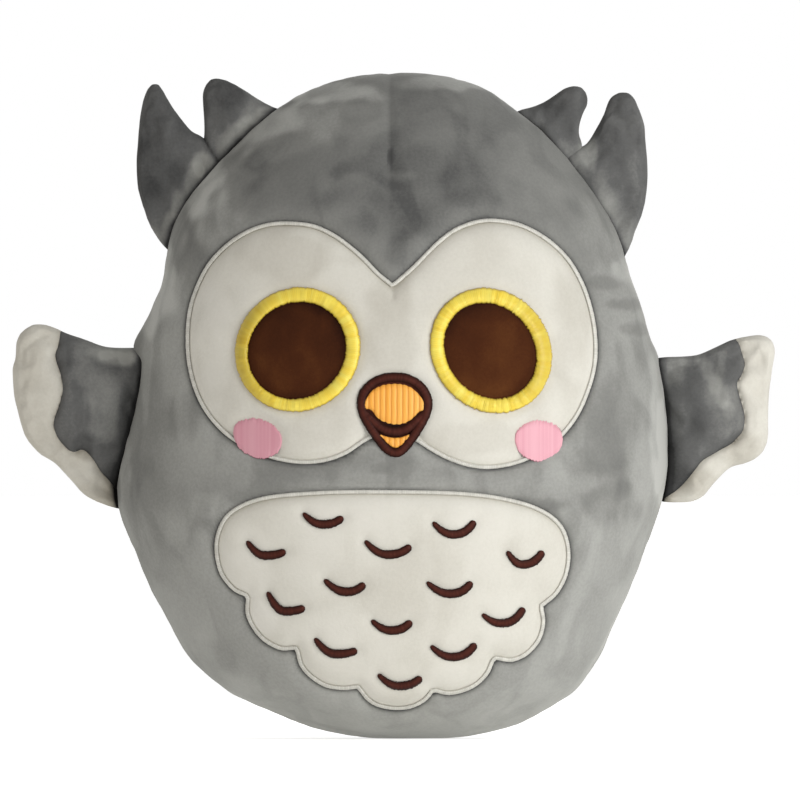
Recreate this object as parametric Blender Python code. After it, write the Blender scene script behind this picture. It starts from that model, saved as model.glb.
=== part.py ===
"""Plush owl, about 300 mm tall: a stuffed ball-shaped body with sewn ear tufts and wings.

The owl looks towards -Y and stands on its seat at Z = 0. Left and right are the owl's own,
so its left is at +X. The cover is three cut panels round one filling, and the face, belly,
eyes, beak, cheeks and feather marks are cloth and satin stitch laid on the front panel.
"""

import math

import bmesh
import bpy
from mathutils import Matrix, Vector
from mathutils.geometry import delaunay_2d_cdt

MM = 0.001

# Body
BODY_HEIGHT = 300.0 * MM
BODY_WIDTH = 244.0 * MM
FRONT_DEPTH = 86.0 * MM
BACK_DEPTH = 89.5 * MM
SEAT_CUT = 0.5 * MM
COVER_THICKNESS = 1.8 * MM
BODY_HALF_CELLS = 6
FILLING_HALF_CELLS = 4

# Fullness of the body against a plain ellipsoid, from its foot at -1 to its crown at 1
WIDTH_FULLNESS_SHARES = (
    (-1.00, 1.62), (-0.95, 1.36), (-0.85, 1.22), (-0.70, 1.12), (-0.50, 1.07), (-0.30, 1.04),
    (-0.10, 1.00), (0.10, 0.97), (0.30, 0.952), (0.50, 0.948), (0.75, 0.94), (0.90, 0.96),
    (1.00, 1.00),
)
DEPTH_FULLNESS_SHARES = (
    (-1.00, 2.05), (-0.95, 1.72), (-0.85, 1.46), (-0.70, 1.26), (-0.50, 1.13), (-0.30, 1.06),
    (-0.10, 1.00), (0.10, 0.975), (0.30, 0.96), (0.50, 0.95), (0.75, 0.95), (0.90, 0.97),
    (1.00, 1.02),
)

# Clearances
GAP = 0.3 * MM
FILLING_GAP = 0.8 * MM
HINGE_STANDOFF = 1.0 * MM
OVERRUN = 10.0 * MM

# Forehead dart, a stitched fold from the crown down the middle of the front
DART_DROP = 50.0 * MM
DART_RADIUS = 0.9 * MM
DIMPLE_RADIUS = 1.3 * MM
DART_POINTS = 9

# Layers on the front panel
PATCH_THICKNESS = 1.5 * MM
STITCH_THICKNESS = 1.0 * MM
RING_THICKNESS = 2.0 * MM
BORDER_WIDTH = 3.0 * MM

# Face
FACE_WIDTH = 186.0 * MM
FACE_HEIGHT = 113.0 * MM
FACE_FOOT_HEIGHT = 120.5 * MM
FACE_HALF_SHARES = (
    (0.0, 0.715), (0.089, 0.826), (0.186, 0.913), (0.308, 0.972), (0.472, 1.0), (0.671, 0.954),
    (0.84, 0.833), (0.961, 0.655), (1.0, 0.469), (0.961, 0.298), (0.865, 0.151), (0.695, 0.04),
    (0.472, 0.0), (0.283, 0.032), (0.138, 0.115), (0.0, 0.19),
)

# Eyes, up from the face's foot
EYE_SPACING = 87.0 * MM
EYE_RISE = 54.0 * MM
EYE_DISC_WIDTH = 43.6 * MM
EYE_DISC_TALL = 44.2 * MM
EYE_RING_WIDTH = 5.4 * MM
EYE_SIDES = 32

# Cheeks, out and down from the middles of the eyes
CHEEK_OUT = 19.5 * MM
CHEEK_DROP = 39.5 * MM
CHEEK_WIDTH = 22.0 * MM
CHEEK_TALL = 19.8 * MM
CHEEK_SIDES = 20

# Beak, whose tip hangs below the middles of the eyes
BEAK_WIDTH = 34.5 * MM
BEAK_HEIGHT = 38.8 * MM
BEAK_TIP_DROP = 48.5 * MM
BEAK_HALF_SHARES = (
    (0.0, 1.0), (0.49, 0.956), (0.84, 0.835), (1.0, 0.652), (0.9, 0.487), (0.64, 0.294),
    (0.38, 0.113), (0.17, 0.023), (0.0, 0.0),
)
UPPER_BEAK_HALF_SHARES = (
    (0.0, 0.874), (0.38, 0.848), (0.66, 0.745), (0.76, 0.59), (0.55, 0.45), (0.29, 0.386),
    (0.0, 0.371),
)
LOWER_BEAK_HALF_SHARES = (
    (0.0, 0.235), (0.2, 0.247), (0.4, 0.284), (0.28, 0.19), (0.14, 0.145), (0.0, 0.13),
)

# Belly
BELLY_WIDTH = 161.0 * MM
BELLY_HEIGHT = 100.0 * MM
BELLY_FOOT_HEIGHT = 12.6 * MM
BELLY_TOP_HALF_SHARES = (
    (0.0, 1.0), (0.37, 0.99), (0.69, 0.93), (0.93, 0.825), (1.0, 0.715), (0.975, 0.58),
    (0.91, 0.50), (0.835, 0.485),
)
BELLY_CUSP_SHARES = ((0.835, 0.485), (0.557, 0.25), (0.219, 0.09), (-0.219, 0.09))
SCALLOP_BULGE_SHARES = (0.36, 0.31, 0.25)
SCALLOP_STEPS = 6

# Feather marks: the middle between a mark's two ends, across and up, and the ends' slope
MARK_LENGTH = 14.8 * MM
MARK_SAG = 5.2 * MM
MARK_STROKE = 3.6 * MM
MARK_STEPS = 6
MARK_PLACE_SHARES = (
    (-0.392, 0.883, -0.10), (0.341, 0.849, 0.02),
    (-0.713, 0.743, -0.28), (-0.028, 0.755, -0.11), (0.739, 0.721, 0.0),
    (-0.274, 0.581, -0.10), (0.316, 0.577, 0.0),
    (-0.599, 0.498, -0.40), (-0.008, 0.403, -0.03), (0.618, 0.446, 0.14),
    (-0.316, 0.302, -0.28), (0.339, 0.293, 0.05),
    (0.042, 0.156, -0.07),
)

# Wings, from the hinge line at the side seam outwards, and up from the root's foot
WING_REACH = 57.0 * MM
WING_ROOT_FOOT_HEIGHT = 104.0 * MM
WING_ROOT_TOP_HEIGHT = 175.0 * MM
WING_HALF_THICKNESS = 11.0 * MM
WING_RIM_HALF_THICKNESS = 1.0 * MM
WING_CELL = 7.0 * MM
WING_SWING = 45.0
WING_SEAM_DIP_SHARE = 0.78
WING_RIM_SHARES = (
    (0.0, 1.0), (0.17, 0.995), (0.326, 1.02), (0.579, 1.07), (0.73, 1.12), (0.83, 1.14),
    (0.935, 1.106), (0.993, 1.014), (1.0, 0.88), (0.968, 0.746), (0.93, 0.62), (0.895, 0.507),
    (0.791, 0.366), (0.69, 0.30), (0.602, 0.26), (0.468, 0.169), (0.279, 0.056), (0.14, 0.01),
    (0.0, 0.0),
)
WING_SEAM_SHARES = (
    (0.64, 1.16), (0.653, 1.09), (0.694, 0.93), (0.61, 0.76), (0.653, 0.542), (0.58, 0.407),
    (0.453, 0.352), (0.325, 0.28), (0.2, 0.16), (0.06, 0.03), (0.02, -0.06),
)

# Ears: their seam's two ends below the crown, and outwards from it
EAR_INNER_FOOT_DROP = 16.0 * MM
EAR_OUTER_FOOT_DROP = 79.5 * MM
EAR_REACH = 48.6 * MM
EAR_HALF_THICKNESS = 9.0 * MM
EAR_RIM_HALF_THICKNESS = 1.0 * MM
EAR_CELL = 6.5 * MM
EAR_SWING = 25.0
OUTER_TUFT_SHARES = (
    (1.01, -0.06), (0.965, 0.15), (0.908, 0.31), (0.81, 0.53), (0.72, 0.655), (0.572, 0.82),
    (0.432, 0.965), (0.376, 1.0), (0.31, 0.99), (0.276, 0.925), (0.314, 0.805), (0.365, 0.572),
    (0.376, 0.44), (0.364, 0.335),
)
INNER_TUFT_SHARES = (
    (0.364, 0.335), (0.26, 0.46), (0.158, 0.597), (0.1, 0.611), (0.046, 0.572),
    (0.022, 0.459), (0.012, 0.30), (0.0, 0.15), (-0.02, -0.06),
)
CREASE_FOOT_SHARES = (0.415, 0.123)

# A soft limb's swelling is relaxed over its outline in this many rounds
RELAX_ROUNDS = 160
SWING_CUTS = 5
CURVE_STEPS = 3
LIMB_CURVE_STEPS = 2

# Edges sharper than this many degrees stay crisp
CRISP_ANGLE = 40.0

# Colours as linear red, green and blue, with a roughness
GREY_PLUSH = (0.26, 0.26, 0.25, 0.95)
DARK_PLUSH = (0.13, 0.13, 0.13, 0.95)
WHITE_PLUSH = (0.72, 0.69, 0.63, 0.95)
FILLING = (0.90, 0.90, 0.88, 1.0)
PALE_THREAD = (0.60, 0.58, 0.52, 0.55)
YELLOW_THREAD = (0.79, 0.58, 0.09, 0.5)
ORANGE_THREAD = (0.85, 0.38, 0.06, 0.5)
BROWN_THREAD = (0.06, 0.02, 0.018, 0.55)
PINK_THREAD = (0.80, 0.42, 0.48, 0.5)
BROWN_PLUSH = (0.07, 0.025, 0.01, 0.8)


def clear_scene():
    """Remove every object of the open scene."""
    for leftover in list(bpy.data.objects):
        bpy.data.objects.remove(leftover, do_unlink=True)


def new_collection(name):
    """A collection linked to the scene."""
    collection = bpy.data.collections.new(name)
    bpy.context.scene.collection.children.link(collection)
    return collection


def add_object(name, mesh, collection):
    """An object that shows the mesh, with its origin at the world's."""
    piece = bpy.data.objects.new(name, mesh)
    collection.objects.link(piece)
    return piece


def add_cutter(name, mesh):
    """A guide object that only cuts others."""
    cutter = add_object(name, mesh, CUTTERS)
    cutter.hide_render = True
    cutter.display_type = "WIRE"
    return cutter


def finish(piece, colour):
    """Give a piece a material of its own and smooth shading."""
    material = bpy.data.materials.new(piece.name)
    material.use_nodes = True
    shader = material.node_tree.nodes["Principled BSDF"]
    shader.inputs["Base Color"].default_value = (*colour[:3], 1.0)
    shader.inputs["Roughness"].default_value = colour[3]
    shader.inputs["Metallic"].default_value = 0.0
    piece.data.materials.append(material)
    piece.data.shade_smooth()
    piece.data.set_sharp_from_angle(angle=math.radians(CRISP_ANGLE))


def combine(piece, cutter, operation):
    """Add a live Boolean of the cutter to the piece."""
    modifier = piece.modifiers.new(operation.title(), "BOOLEAN")
    modifier.operation = operation
    modifier.solver = "EXACT"
    modifier.object = cutter


def set_origin(piece, point):
    """Move an object's origin to a point and leave its shape where it is."""
    piece.data.transform(Matrix.Translation(-point))
    piece.location = point
    piece.parent = STAND


def smooth_table(table, at):
    """Read a table of (place, value) pairs along a smooth curve through them."""
    last = len(table) - 1
    low = max(i for i in range(last) if table[i][0] <= at or i == 0)
    start, end = table[low], table[low + 1]
    before, after = table[max(low - 1, 0)], table[min(low + 2, last)]
    span = end[0] - start[0]
    part = (at - start[0]) / span
    slope_in = (end[1] - before[1]) / (end[0] - before[0]) * span
    slope_out = (after[1] - start[1]) / (after[0] - start[0]) * span
    rise = end[1] - start[1]
    curve = (slope_in + slope_out - 2 * rise) * part + (3 * rise - 2 * slope_in - slope_out)
    return start[1] + slope_in * part + curve * part * part


def smooth_run(points, steps=CURVE_STEPS):
    """Points of an open smooth curve through the given ones, ends included."""
    run = []
    last = len(points) - 1
    for i in range(last):
        before, start = points[max(i - 1, 0)], points[i]
        end, after = points[i + 1], points[min(i + 2, last)]
        for step in range(steps):
            t = step / steps
            bend = 2 * before - 5 * start + 4 * end - after
            twist = 3 * start - before - 3 * end + after
            run.append(start + ((end - before) * t + bend * t * t + twist * t ** 3) / 2)
    return run + [points[last]]


def arc_between(start, end, bulge_share, steps=SCALLOP_STEPS):
    """Points of a round arc between two points; its bulge is a share of their distance."""
    chord = end - start
    halfway = (start + end) / 2
    side = Vector((chord.y, -chord.x)).normalized()
    sagitta = chord.length * bulge_share
    radius = (chord.length ** 2 / 4 + sagitta ** 2) / (2 * sagitta)
    centre = halfway + side * (sagitta - radius)
    half = math.asin(chord.length / (2 * radius))
    half = math.pi - half if sagitta > radius else half
    points = []
    for step in range(steps + 1):
        angle = half * (2 * step / steps - 1)
        points.append(centre + side * radius * math.cos(angle)
                      + chord.normalized() * radius * math.sin(angle))
    return points


def mirrored_loop(half):
    """A closed outline from its +X half, which runs from the top to the bottom of the middle."""
    return half + [Vector((-p.x, p.y)) for p in reversed(half[1:-1])]


def half_outline(shares, width, height, foot):
    """The +X half of an outline, smooth through its shares."""
    return smooth_run([Vector((x * width / 2, foot + z * height)) for x, z in shares])


def middle(loop):
    """The middle of an outline's box."""
    low = Vector((min(p.x for p in loop), min(p.y for p in loop)))
    high = Vector((max(p.x for p in loop), max(p.y for p in loop)))
    return (low + high) / 2


def ellipse(centre, width, tall, sides):
    """A closed oval outline."""
    points = []
    for i in range(sides):
        turn = 2 * math.pi * i / sides
        points.append(centre + Vector((width / 2 * math.cos(turn), tall / 2 * math.sin(turn))))
    return points


def offset_loop(points, distance):
    """The outline moved outwards by a distance, inwards where that is negative."""
    count = len(points)
    area = sum(points[i].x * points[(i + 1) % count].y - points[(i + 1) % count].x * points[i].y
               for i in range(count))
    turn = 1.0 if area > 0 else -1.0
    moved = []
    for i in range(count):
        into = (points[i] - points[i - 1]).normalized()
        out = (points[(i + 1) % count] - points[i]).normalized()
        normal_in = Vector((into.y, -into.x)) * turn
        normal_out = Vector((out.y, -out.x)) * turn
        mitre = (normal_in + normal_out).normalized()
        moved.append(points[i] + mitre * distance / max(mitre.dot(normal_out), 0.5))
    return moved


def body_radii(height_share):
    """The body's half width, half depth in front and half depth behind, at -1 foot to 1 crown."""
    ring = math.sqrt(max(0.0, 1.0 - height_share ** 2))
    wide = ring * smooth_table(WIDTH_FULLNESS_SHARES, height_share)
    deep = ring * smooth_table(DEPTH_FULLNESS_SHARES, height_share)
    return wide * BODY_WIDTH / 2 / WIDEST, deep * FRONT_DEPTH / DEEPEST, deep * BACK_DEPTH / DEEPEST


def fullest(table):
    """The largest radius, in shares, that a table of fullness gives an ellipsoid."""
    places = [i / 100 for i in range(-100, 101)]
    return max(math.sqrt(1.0 - s * s) * smooth_table(table, s) for s in places)


WIDEST = fullest(WIDTH_FULLNESS_SHARES)
DEEPEST = fullest(DEPTH_FULLNESS_SHARES)


def body_point(direction):
    """The body's surface point for a direction from its middle."""
    wide, front, back = body_radii(direction.z)
    flat = Vector((direction.x, direction.y))
    if flat.length > 0:
        flat.normalize()
    deep = front if flat.y < 0 else back
    height = (BODY_HEIGHT + SEAT_CUT) * (direction.z + 1) / 2 - SEAT_CUT
    return Vector((flat.x * wide, flat.y * deep, height))


def body_side(height):
    """The half width of the body at a height."""
    share = 2 * (height + SEAT_CUT) / (BODY_HEIGHT + SEAT_CUT) - 1
    return body_radii(share)[0]


def body_form(outset, half_cells=BODY_HALF_CELLS):
    """A closed mesh of the body's stuffed form, moved outwards by the outset."""
    form = bmesh.new()
    bmesh.ops.create_cube(form, size=2.0)
    cuts = 2 * half_cells - 1
    bmesh.ops.subdivide_edges(form, edges=form.edges[:], cuts=cuts, use_grid_fill=True)
    for vertex in form.verts:
        even = Vector([math.tan(c * math.pi / 4) for c in vertex.co])
        vertex.co = body_point(even.normalized())
    bmesh.ops.triangulate(form, faces=form.faces[:])
    form.normal_update()
    moved = [vertex.co + vertex.normal * outset for vertex in form.verts]
    for vertex, place in zip(form.verts, moved):
        vertex.co = place
    return form


def form_mesh(name, outset, half_cells=BODY_HALF_CELLS):
    """The stuffed form as a mesh data block."""
    form = body_form(outset, half_cells)
    mesh = bpy.data.meshes.new(name)
    form.to_mesh(mesh)
    form.free()
    return mesh


def form_cutter(outset):
    """The form as a cutter, made once for each outset."""
    name = f"form_{round(outset / MM, 2)}"
    return bpy.data.objects.get(name) or add_cutter(name, form_mesh(name, outset))


def cut_flat(form, height):
    """Cut an open or closed bmesh flat at a height and close the cut."""
    bmesh.ops.bisect_plane(form, geom=form.verts[:] + form.edges[:] + form.faces[:],
                           plane_co=(0, 0, height), plane_no=(0, 0, -1), clear_outer=True)
    rim = [edge for edge in form.edges if edge.is_boundary]
    bmesh.ops.edgeloop_fill(form, edges=rim)


def keep_side(form, axis, side):
    """Keep the half of a form on one side of a middle plane, half a gap back from it."""
    lost = [face for face in form.faces if face.calc_center_median()[axis] * side < 0]
    bmesh.ops.delete(form, geom=lost, context="FACES")
    for vertex in form.verts:
        if abs(vertex.co[axis]) < GAP / 10:
            vertex.co[axis] = side * GAP / 2


def cover_panel(name, sides):
    """One cut panel of the cover: an open shell of the form between its seams."""
    panel = body_form(0.0)
    inner = body_form(-COVER_THICKNESS)
    for axis, side in sides:
        keep_side(panel, axis, side)
        keep_side(inner, axis, side)
    bmesh.ops.reverse_faces(inner, faces=inner.faces[:])
    inside = bpy.data.meshes.new(name + "_inside")
    inner.to_mesh(inside)
    inner.free()
    panel.from_mesh(inside)
    bpy.data.meshes.remove(inside)
    bmesh.ops.bridge_loops(panel, edges=[edge for edge in panel.edges if edge.is_boundary])
    cut_flat(panel, 0.0)
    bmesh.ops.recalc_face_normals(panel, faces=panel.faces[:])
    mesh = bpy.data.meshes.new(name)
    panel.to_mesh(mesh)
    panel.free()
    piece = add_object(name, mesh, PARTS)
    piece.parent = STAND
    finish(piece, GREY_PLUSH)
    return piece


def dart_cutter():
    """A tapered tube that presses the forehead dart and its dimple into the front panel."""
    foot = math.asin(1 - 2 * DART_DROP / BODY_HEIGHT)
    crown = math.pi / 2
    curve = bpy.data.curves.new("dart_line", "CURVE")
    curve.dimensions = "3D"
    curve.bevel_depth = DART_RADIUS
    curve.bevel_resolution = 1
    curve.use_fill_caps = True
    spline = curve.splines.new("POLY")
    spline.points.add(DART_POINTS - 1)
    for i, point in enumerate(spline.points):
        rise = foot + (crown - foot) * i / DART_POINTS
        point.co = (*body_point(Vector((0, -math.cos(rise), math.sin(rise)))), 1.0)
        point.radius = DIMPLE_RADIUS / DART_RADIUS if i == 0 else 1.0
    return mesh_cutter("dart_cutter", curve)


def mesh_cutter(name, curve):
    """A curve data block made into a closed mesh cutter."""
    mesh = curve_mesh(name, curve, Matrix.Identity(4))
    return add_cutter(name, mesh)


def curve_mesh(name, curve, matrix):
    """The welded mesh of a curve data block, with a matrix laid into it."""
    guide = bpy.data.objects.new(name, curve)
    CUTTERS.objects.link(guide)
    bpy.context.view_layer.update()
    seen = guide.evaluated_get(bpy.context.evaluated_depsgraph_get())
    mesh = bpy.data.meshes.new_from_object(seen)
    bpy.data.objects.remove(guide, do_unlink=True)
    weld = bmesh.new()
    weld.from_mesh(mesh)
    bmesh.ops.remove_doubles(weld, verts=weld.verts[:], dist=GAP / 100)
    bmesh.ops.recalc_face_normals(weld, faces=weld.faces[:])
    weld.to_mesh(mesh)
    weld.free()
    mesh.transform(matrix)
    mesh.name = name
    return mesh


def outline_prism(name, loops, front, back):
    """A prism along Y, from front to back of the middle plane, of flat outlines in X and Z."""
    curve = bpy.data.curves.new(name, "CURVE")
    curve.dimensions = "2D"
    curve.fill_mode = "BOTH"
    curve.extrude = (front + back) / 2
    for loop in loops:
        spline = curve.splines.new("POLY")
        spline.points.add(len(loop) - 1)
        for point, place in zip(spline.points, loop):
            point.co = (place.x, place.y, 0.0, 1.0)
        spline.use_cyclic_u = True
    upright = Matrix.Rotation(math.pi / 2, 4, "X")
    return curve_mesh(name, curve, Matrix.Translation((0, (back - front) / 2, 0)) @ upright)


def layer(name, loops, low, high, colour):
    """A cloth or stitch layer on the front panel, between two heights above it."""
    piece = add_object(name, outline_prism(name, loops, PRISM_REACH, 0.0), PARTS)
    across, up = middle(loops[0])
    set_origin(piece, Vector((across, -FRONT_DEPTH, up)))
    combine(piece, form_cutter(high), "INTERSECT")
    combine(piece, form_cutter(low), "DIFFERENCE")
    finish(piece, colour)
    return piece


def face_loop():
    """The outline of the whole face, border included."""
    half = half_outline(FACE_HALF_SHARES, FACE_WIDTH, FACE_HEIGHT, FACE_FOOT_HEIGHT)
    return mirrored_loop(half)


def belly_loop():
    """The outline of the whole belly, border included: a smooth top and a scalloped foot."""
    top = half_outline(BELLY_TOP_HALF_SHARES, BELLY_WIDTH, BELLY_HEIGHT, BELLY_FOOT_HEIGHT)
    cusps = [Vector((x * BELLY_WIDTH / 2, BELLY_FOOT_HEIGHT + z * BELLY_HEIGHT))
             for x, z in BELLY_CUSP_SHARES]
    half = top[:-1]
    for start, end, bulge in zip(cusps[:2], cusps[1:3], SCALLOP_BULGE_SHARES):
        half += arc_between(end, start, bulge)[::-1][:-1]
    lowest = arc_between(cusps[3], cusps[2], SCALLOP_BULGE_SHARES[2])[::-1]
    half += lowest[:len(lowest) // 2 + 1]
    return mirrored_loop(half)


PATCH_TOP = GAP + PATCH_THICKNESS
STITCH_FOOT = PATCH_TOP + GAP
PRISM_REACH = FRONT_DEPTH + OVERRUN
EYE_HEIGHT = FACE_FOOT_HEIGHT + EYE_RISE


def patch_with_border(name, loop):
    """A cloth patch and the satin border sewn round its edge."""
    inner = offset_loop(loop, -BORDER_WIDTH)
    layer(name + "_border", [loop, inner], GAP, PATCH_TOP, PALE_THREAD)
    layer(name + "_patch", [offset_loop(inner, -GAP)], GAP, PATCH_TOP, WHITE_PLUSH)


def face_bed():
    """The space that the face fills, with its gap: what is stitched over its edge steps round it."""
    loop = offset_loop(face_loop(), GAP)
    bed = add_cutter("face_bed", outline_prism("face_bed", [loop], PRISM_REACH, 0.0))
    combine(bed, form_cutter(STITCH_FOOT), "INTERSECT")
    return bed


def stitched_over_face(name, loops, thickness, colour, bed):
    """Satin stitch that lies on the face and, past its edge, on the front panel."""
    piece = layer(name, loops, GAP, STITCH_FOOT + thickness, colour)
    combine(piece, bed, "DIFFERENCE")
    return piece


def eyes():
    """A brown disc and a raised yellow ring for each eye."""
    for side, label in ((1, "left"), (-1, "right")):
        centre = Vector((side * EYE_SPACING / 2, EYE_HEIGHT))
        disc = ellipse(centre, EYE_DISC_WIDTH, EYE_DISC_TALL, EYE_SIDES)
        inner = offset_loop(disc, GAP)
        outer = offset_loop(inner, EYE_RING_WIDTH)
        high = STITCH_FOOT + STITCH_THICKNESS
        layer(label + "_eye_disc", [disc], STITCH_FOOT, high, BROWN_PLUSH)
        layer(label + "_eye_ring", [outer, inner], STITCH_FOOT, STITCH_FOOT + RING_THICKNESS,
              YELLOW_THREAD)


def cheeks(bed):
    """A pink satin oval low on each side of the face, over its border."""
    for side, label in ((1, "left"), (-1, "right")):
        centre = Vector((side * (EYE_SPACING / 2 + CHEEK_OUT), EYE_HEIGHT - CHEEK_DROP))
        oval = ellipse(centre, CHEEK_WIDTH, CHEEK_TALL, CHEEK_SIDES)
        stitched_over_face(label + "_cheek", [oval], STITCH_THICKNESS, PINK_THREAD, bed)


def beak(bed):
    """A brown stitched frame with an orange upper and lower beak in its two windows."""
    tip = EYE_HEIGHT - BEAK_TIP_DROP
    rim, upper, lower = [
        mirrored_loop(half_outline(shares, BEAK_WIDTH, BEAK_HEIGHT, tip))
        for shares in (BEAK_HALF_SHARES, UPPER_BEAK_HALF_SHARES, LOWER_BEAK_HALF_SHARES)]
    windows = [offset_loop(upper, GAP), offset_loop(lower, GAP)]
    stitched_over_face("beak_outline", [rim, *windows], RING_THICKNESS, BROWN_THREAD, bed)
    for label, loop in (("upper", upper), ("lower", lower)):
        stitched_over_face(label + "_beak", [loop], STITCH_THICKNESS, ORANGE_THREAD, bed)


def mark_loop(centre, slope):
    """The outline of one feather mark: a smiling stroke with round ends."""
    radius = (MARK_LENGTH ** 2 / 4 + MARK_SAG ** 2) / (2 * MARK_SAG)
    half = math.asin(MARK_LENGTH / 2 / radius)
    turn = Matrix.Rotation(math.atan(slope), 2)
    eye = Vector((0, radius - MARK_SAG))
    stroke = MARK_STROKE / 2
    points = []
    for edge, order in ((stroke, 1), (-stroke, -1)):
        for step in range(MARK_STEPS + 1):
            angle = order * half * (2 * step / MARK_STEPS - 1)
            arm = radius + edge
            points.append(eye + Vector((math.sin(angle), -math.cos(angle))) * arm)
        tip = order * half
        end = eye + Vector((math.sin(tip), -math.cos(tip))) * radius
        points.append(end + Vector((math.cos(tip), math.sin(tip))) * order * stroke)
    return [centre + turn @ point for point in points]


def feather_marks():
    """The rows of small brown marks on the belly."""
    for number, (across, up, slope) in enumerate(MARK_PLACE_SHARES, start=1):
        centre = Vector((across * BELLY_WIDTH / 2, BELLY_FOOT_HEIGHT + up * BELLY_HEIGHT))
        layer(f"feather_mark_{number:02d}", [mark_loop(centre, slope)], STITCH_FOOT,
              STITCH_FOOT + STITCH_THICKNESS, BROWN_THREAD)


def distance_to(point, line):
    """The distance from a point to a line of points."""
    nearest = math.inf
    for start, end in zip(line, line[1:]):
        span = end - start
        along = (point - start).dot(span) / max(span.length_squared, GAP * GAP / 100)
        nearest = min(nearest, (point - start - span * min(1.0, max(0.0, along))).length)
    return nearest


def inside(point, loop):
    """Whether a point lies inside a closed outline."""
    crossings = 0
    for start, end in zip(loop, loop[1:] + loop[:1]):
        if (start.y > point.y) != (end.y > point.y):
            crossing = start.x + (point.y - start.y) / (end.y - start.y) * (end.x - start.x)
            crossings += crossing > point.x
    return crossings % 2 == 1


def lattice(loop, lines, cell):
    """Points of an even triangular grid inside an outline and clear of its lines."""
    low = Vector((min(p.x for p in loop), min(p.y for p in loop)))
    high = Vector((max(p.x for p in loop), max(p.y for p in loop)))
    rise = cell * math.sqrt(3) / 2
    points = []
    for row in range(int((high.y - low.y) / rise) + 1):
        for column in range(int((high.x - low.x) / cell) + 1):
            place = low + Vector(((column + row % 2 / 2) * cell, row * rise))
            clear = min(distance_to(place, line) for line in lines) > cell / 2
            if clear and inside(place, loop):
                points.append(place)
    return points


def swelling(neighbours, pinned):
    """How far each point of a sheet swells when filled, 0 at its pinned rim to 1 at the crown."""
    load = [0.0] * len(neighbours)
    for _ in range(RELAX_ROUNDS):
        load = [0.0 if i in pinned else 1.0 + sum(load[n] for n in near) / len(near)
                for i, near in enumerate(neighbours)]
    peak = max(load)
    return [math.sqrt(value / peak) for value in load]


def stuffed_limb(name, rim, root, seam, cell, crown, rim_half):
    """A flat limb of two cloths sewn at the rim and stuffed, as a closed bmesh.

    rim is the free edge, root the edge inside the body and seam a line across the limb
    where its cloths are drawn in.
    """
    loop = rim + root
    closed = loop + loop[:1]
    inner_seam = [p for p in seam if inside(p, loop) and distance_to(p, closed) > cell / 3]
    lines = [closed] + ([seam] if seam else [])
    free = lattice(loop, lines, cell)
    sheet = delaunay_2d_cdt(loop + inner_seam + free, [], [list(range(len(loop)))], 1, GAP / 100)
    places, triangles = sheet[0], sheet[2]
    neighbours = [set() for _ in places]
    for triangle in triangles:
        for corner in triangle:
            neighbours[corner].update(other for other in triangle if other != corner)
    pinned = {i for i, place in enumerate(places) if distance_to(place, rim) < GAP}
    limb = bmesh.new()
    half = limb.verts.layers.float.new("half")
    swell = swelling(neighbours, pinned)
    for place, share in zip(places, swell):
        vertex = limb.verts.new((place.x, 0, place.y))
        drawn = distance_to(place, seam) < GAP if seam else False
        share = share * WING_SEAM_DIP_SHARE if drawn else share
        vertex[half] = rim_half + (crown - rim_half) * share
    limb.verts.ensure_lookup_table()
    for triangle in triangles:
        limb.faces.new([limb.verts[i] for i in triangle])
    front = limb.verts[:]
    bmesh.ops.extrude_face_region(limb, geom=limb.faces[:], use_keep_orig=True)
    fronts = set(front)
    for vertex in limb.verts:
        vertex.co.y = -vertex[half] if vertex in fronts else vertex[half]
    bmesh.ops.recalc_face_normals(limb, faces=limb.faces[:])
    mesh = bpy.data.meshes.new(name)
    limb.to_mesh(mesh)
    limb.free()
    return mesh


def hinge_empty(name, foot, top):
    """An empty on a hinge line in the side seam, with its Z along the line."""
    empty = bpy.data.objects.new(name, None)
    PARTS.objects.link(empty)
    empty.empty_display_size = (top - foot).length / 2
    empty.parent = STAND
    empty.location = (foot + top) / 2
    empty.rotation_euler = (top - foot).to_track_quat("Z", "Y").to_euler()
    return empty


def swing_cutters(empty, swing):
    """The body's form as the limb meets it at rest and at stops of its swing."""
    form = form_cutter(GAP).data
    cutters = []
    frame = empty.matrix_world.copy()
    for stop in range(SWING_CUTS):
        angle = math.radians(swing * (2 * stop / (SWING_CUTS - 1) - 1))
        cutter = add_cutter(f"{empty.name}_stop_{stop}", form)
        cutter.matrix_world = frame @ Matrix.Rotation(angle, 4, "Z") @ frame.inverted()
        cutters.append(cutter)
    return cutters


def limb_piece(name, mesh, empty, cutters, colour):
    """A limb's node: cut by the body across its swing, and hung on its hinge's empty."""
    piece = add_object(name, mesh, PARTS)
    for cutter in cutters:
        combine(piece, cutter, "DIFFERENCE")
    piece.data.transform(empty.matrix_world.inverted())
    piece.parent = empty
    finish(piece, colour)
    return piece


def side_point(side, height):
    """The point of a limb's hinge line at a height, just outside the cover's side seam."""
    return Vector((side * (body_side(height) + HINGE_STANDOFF), 0, height))


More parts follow.
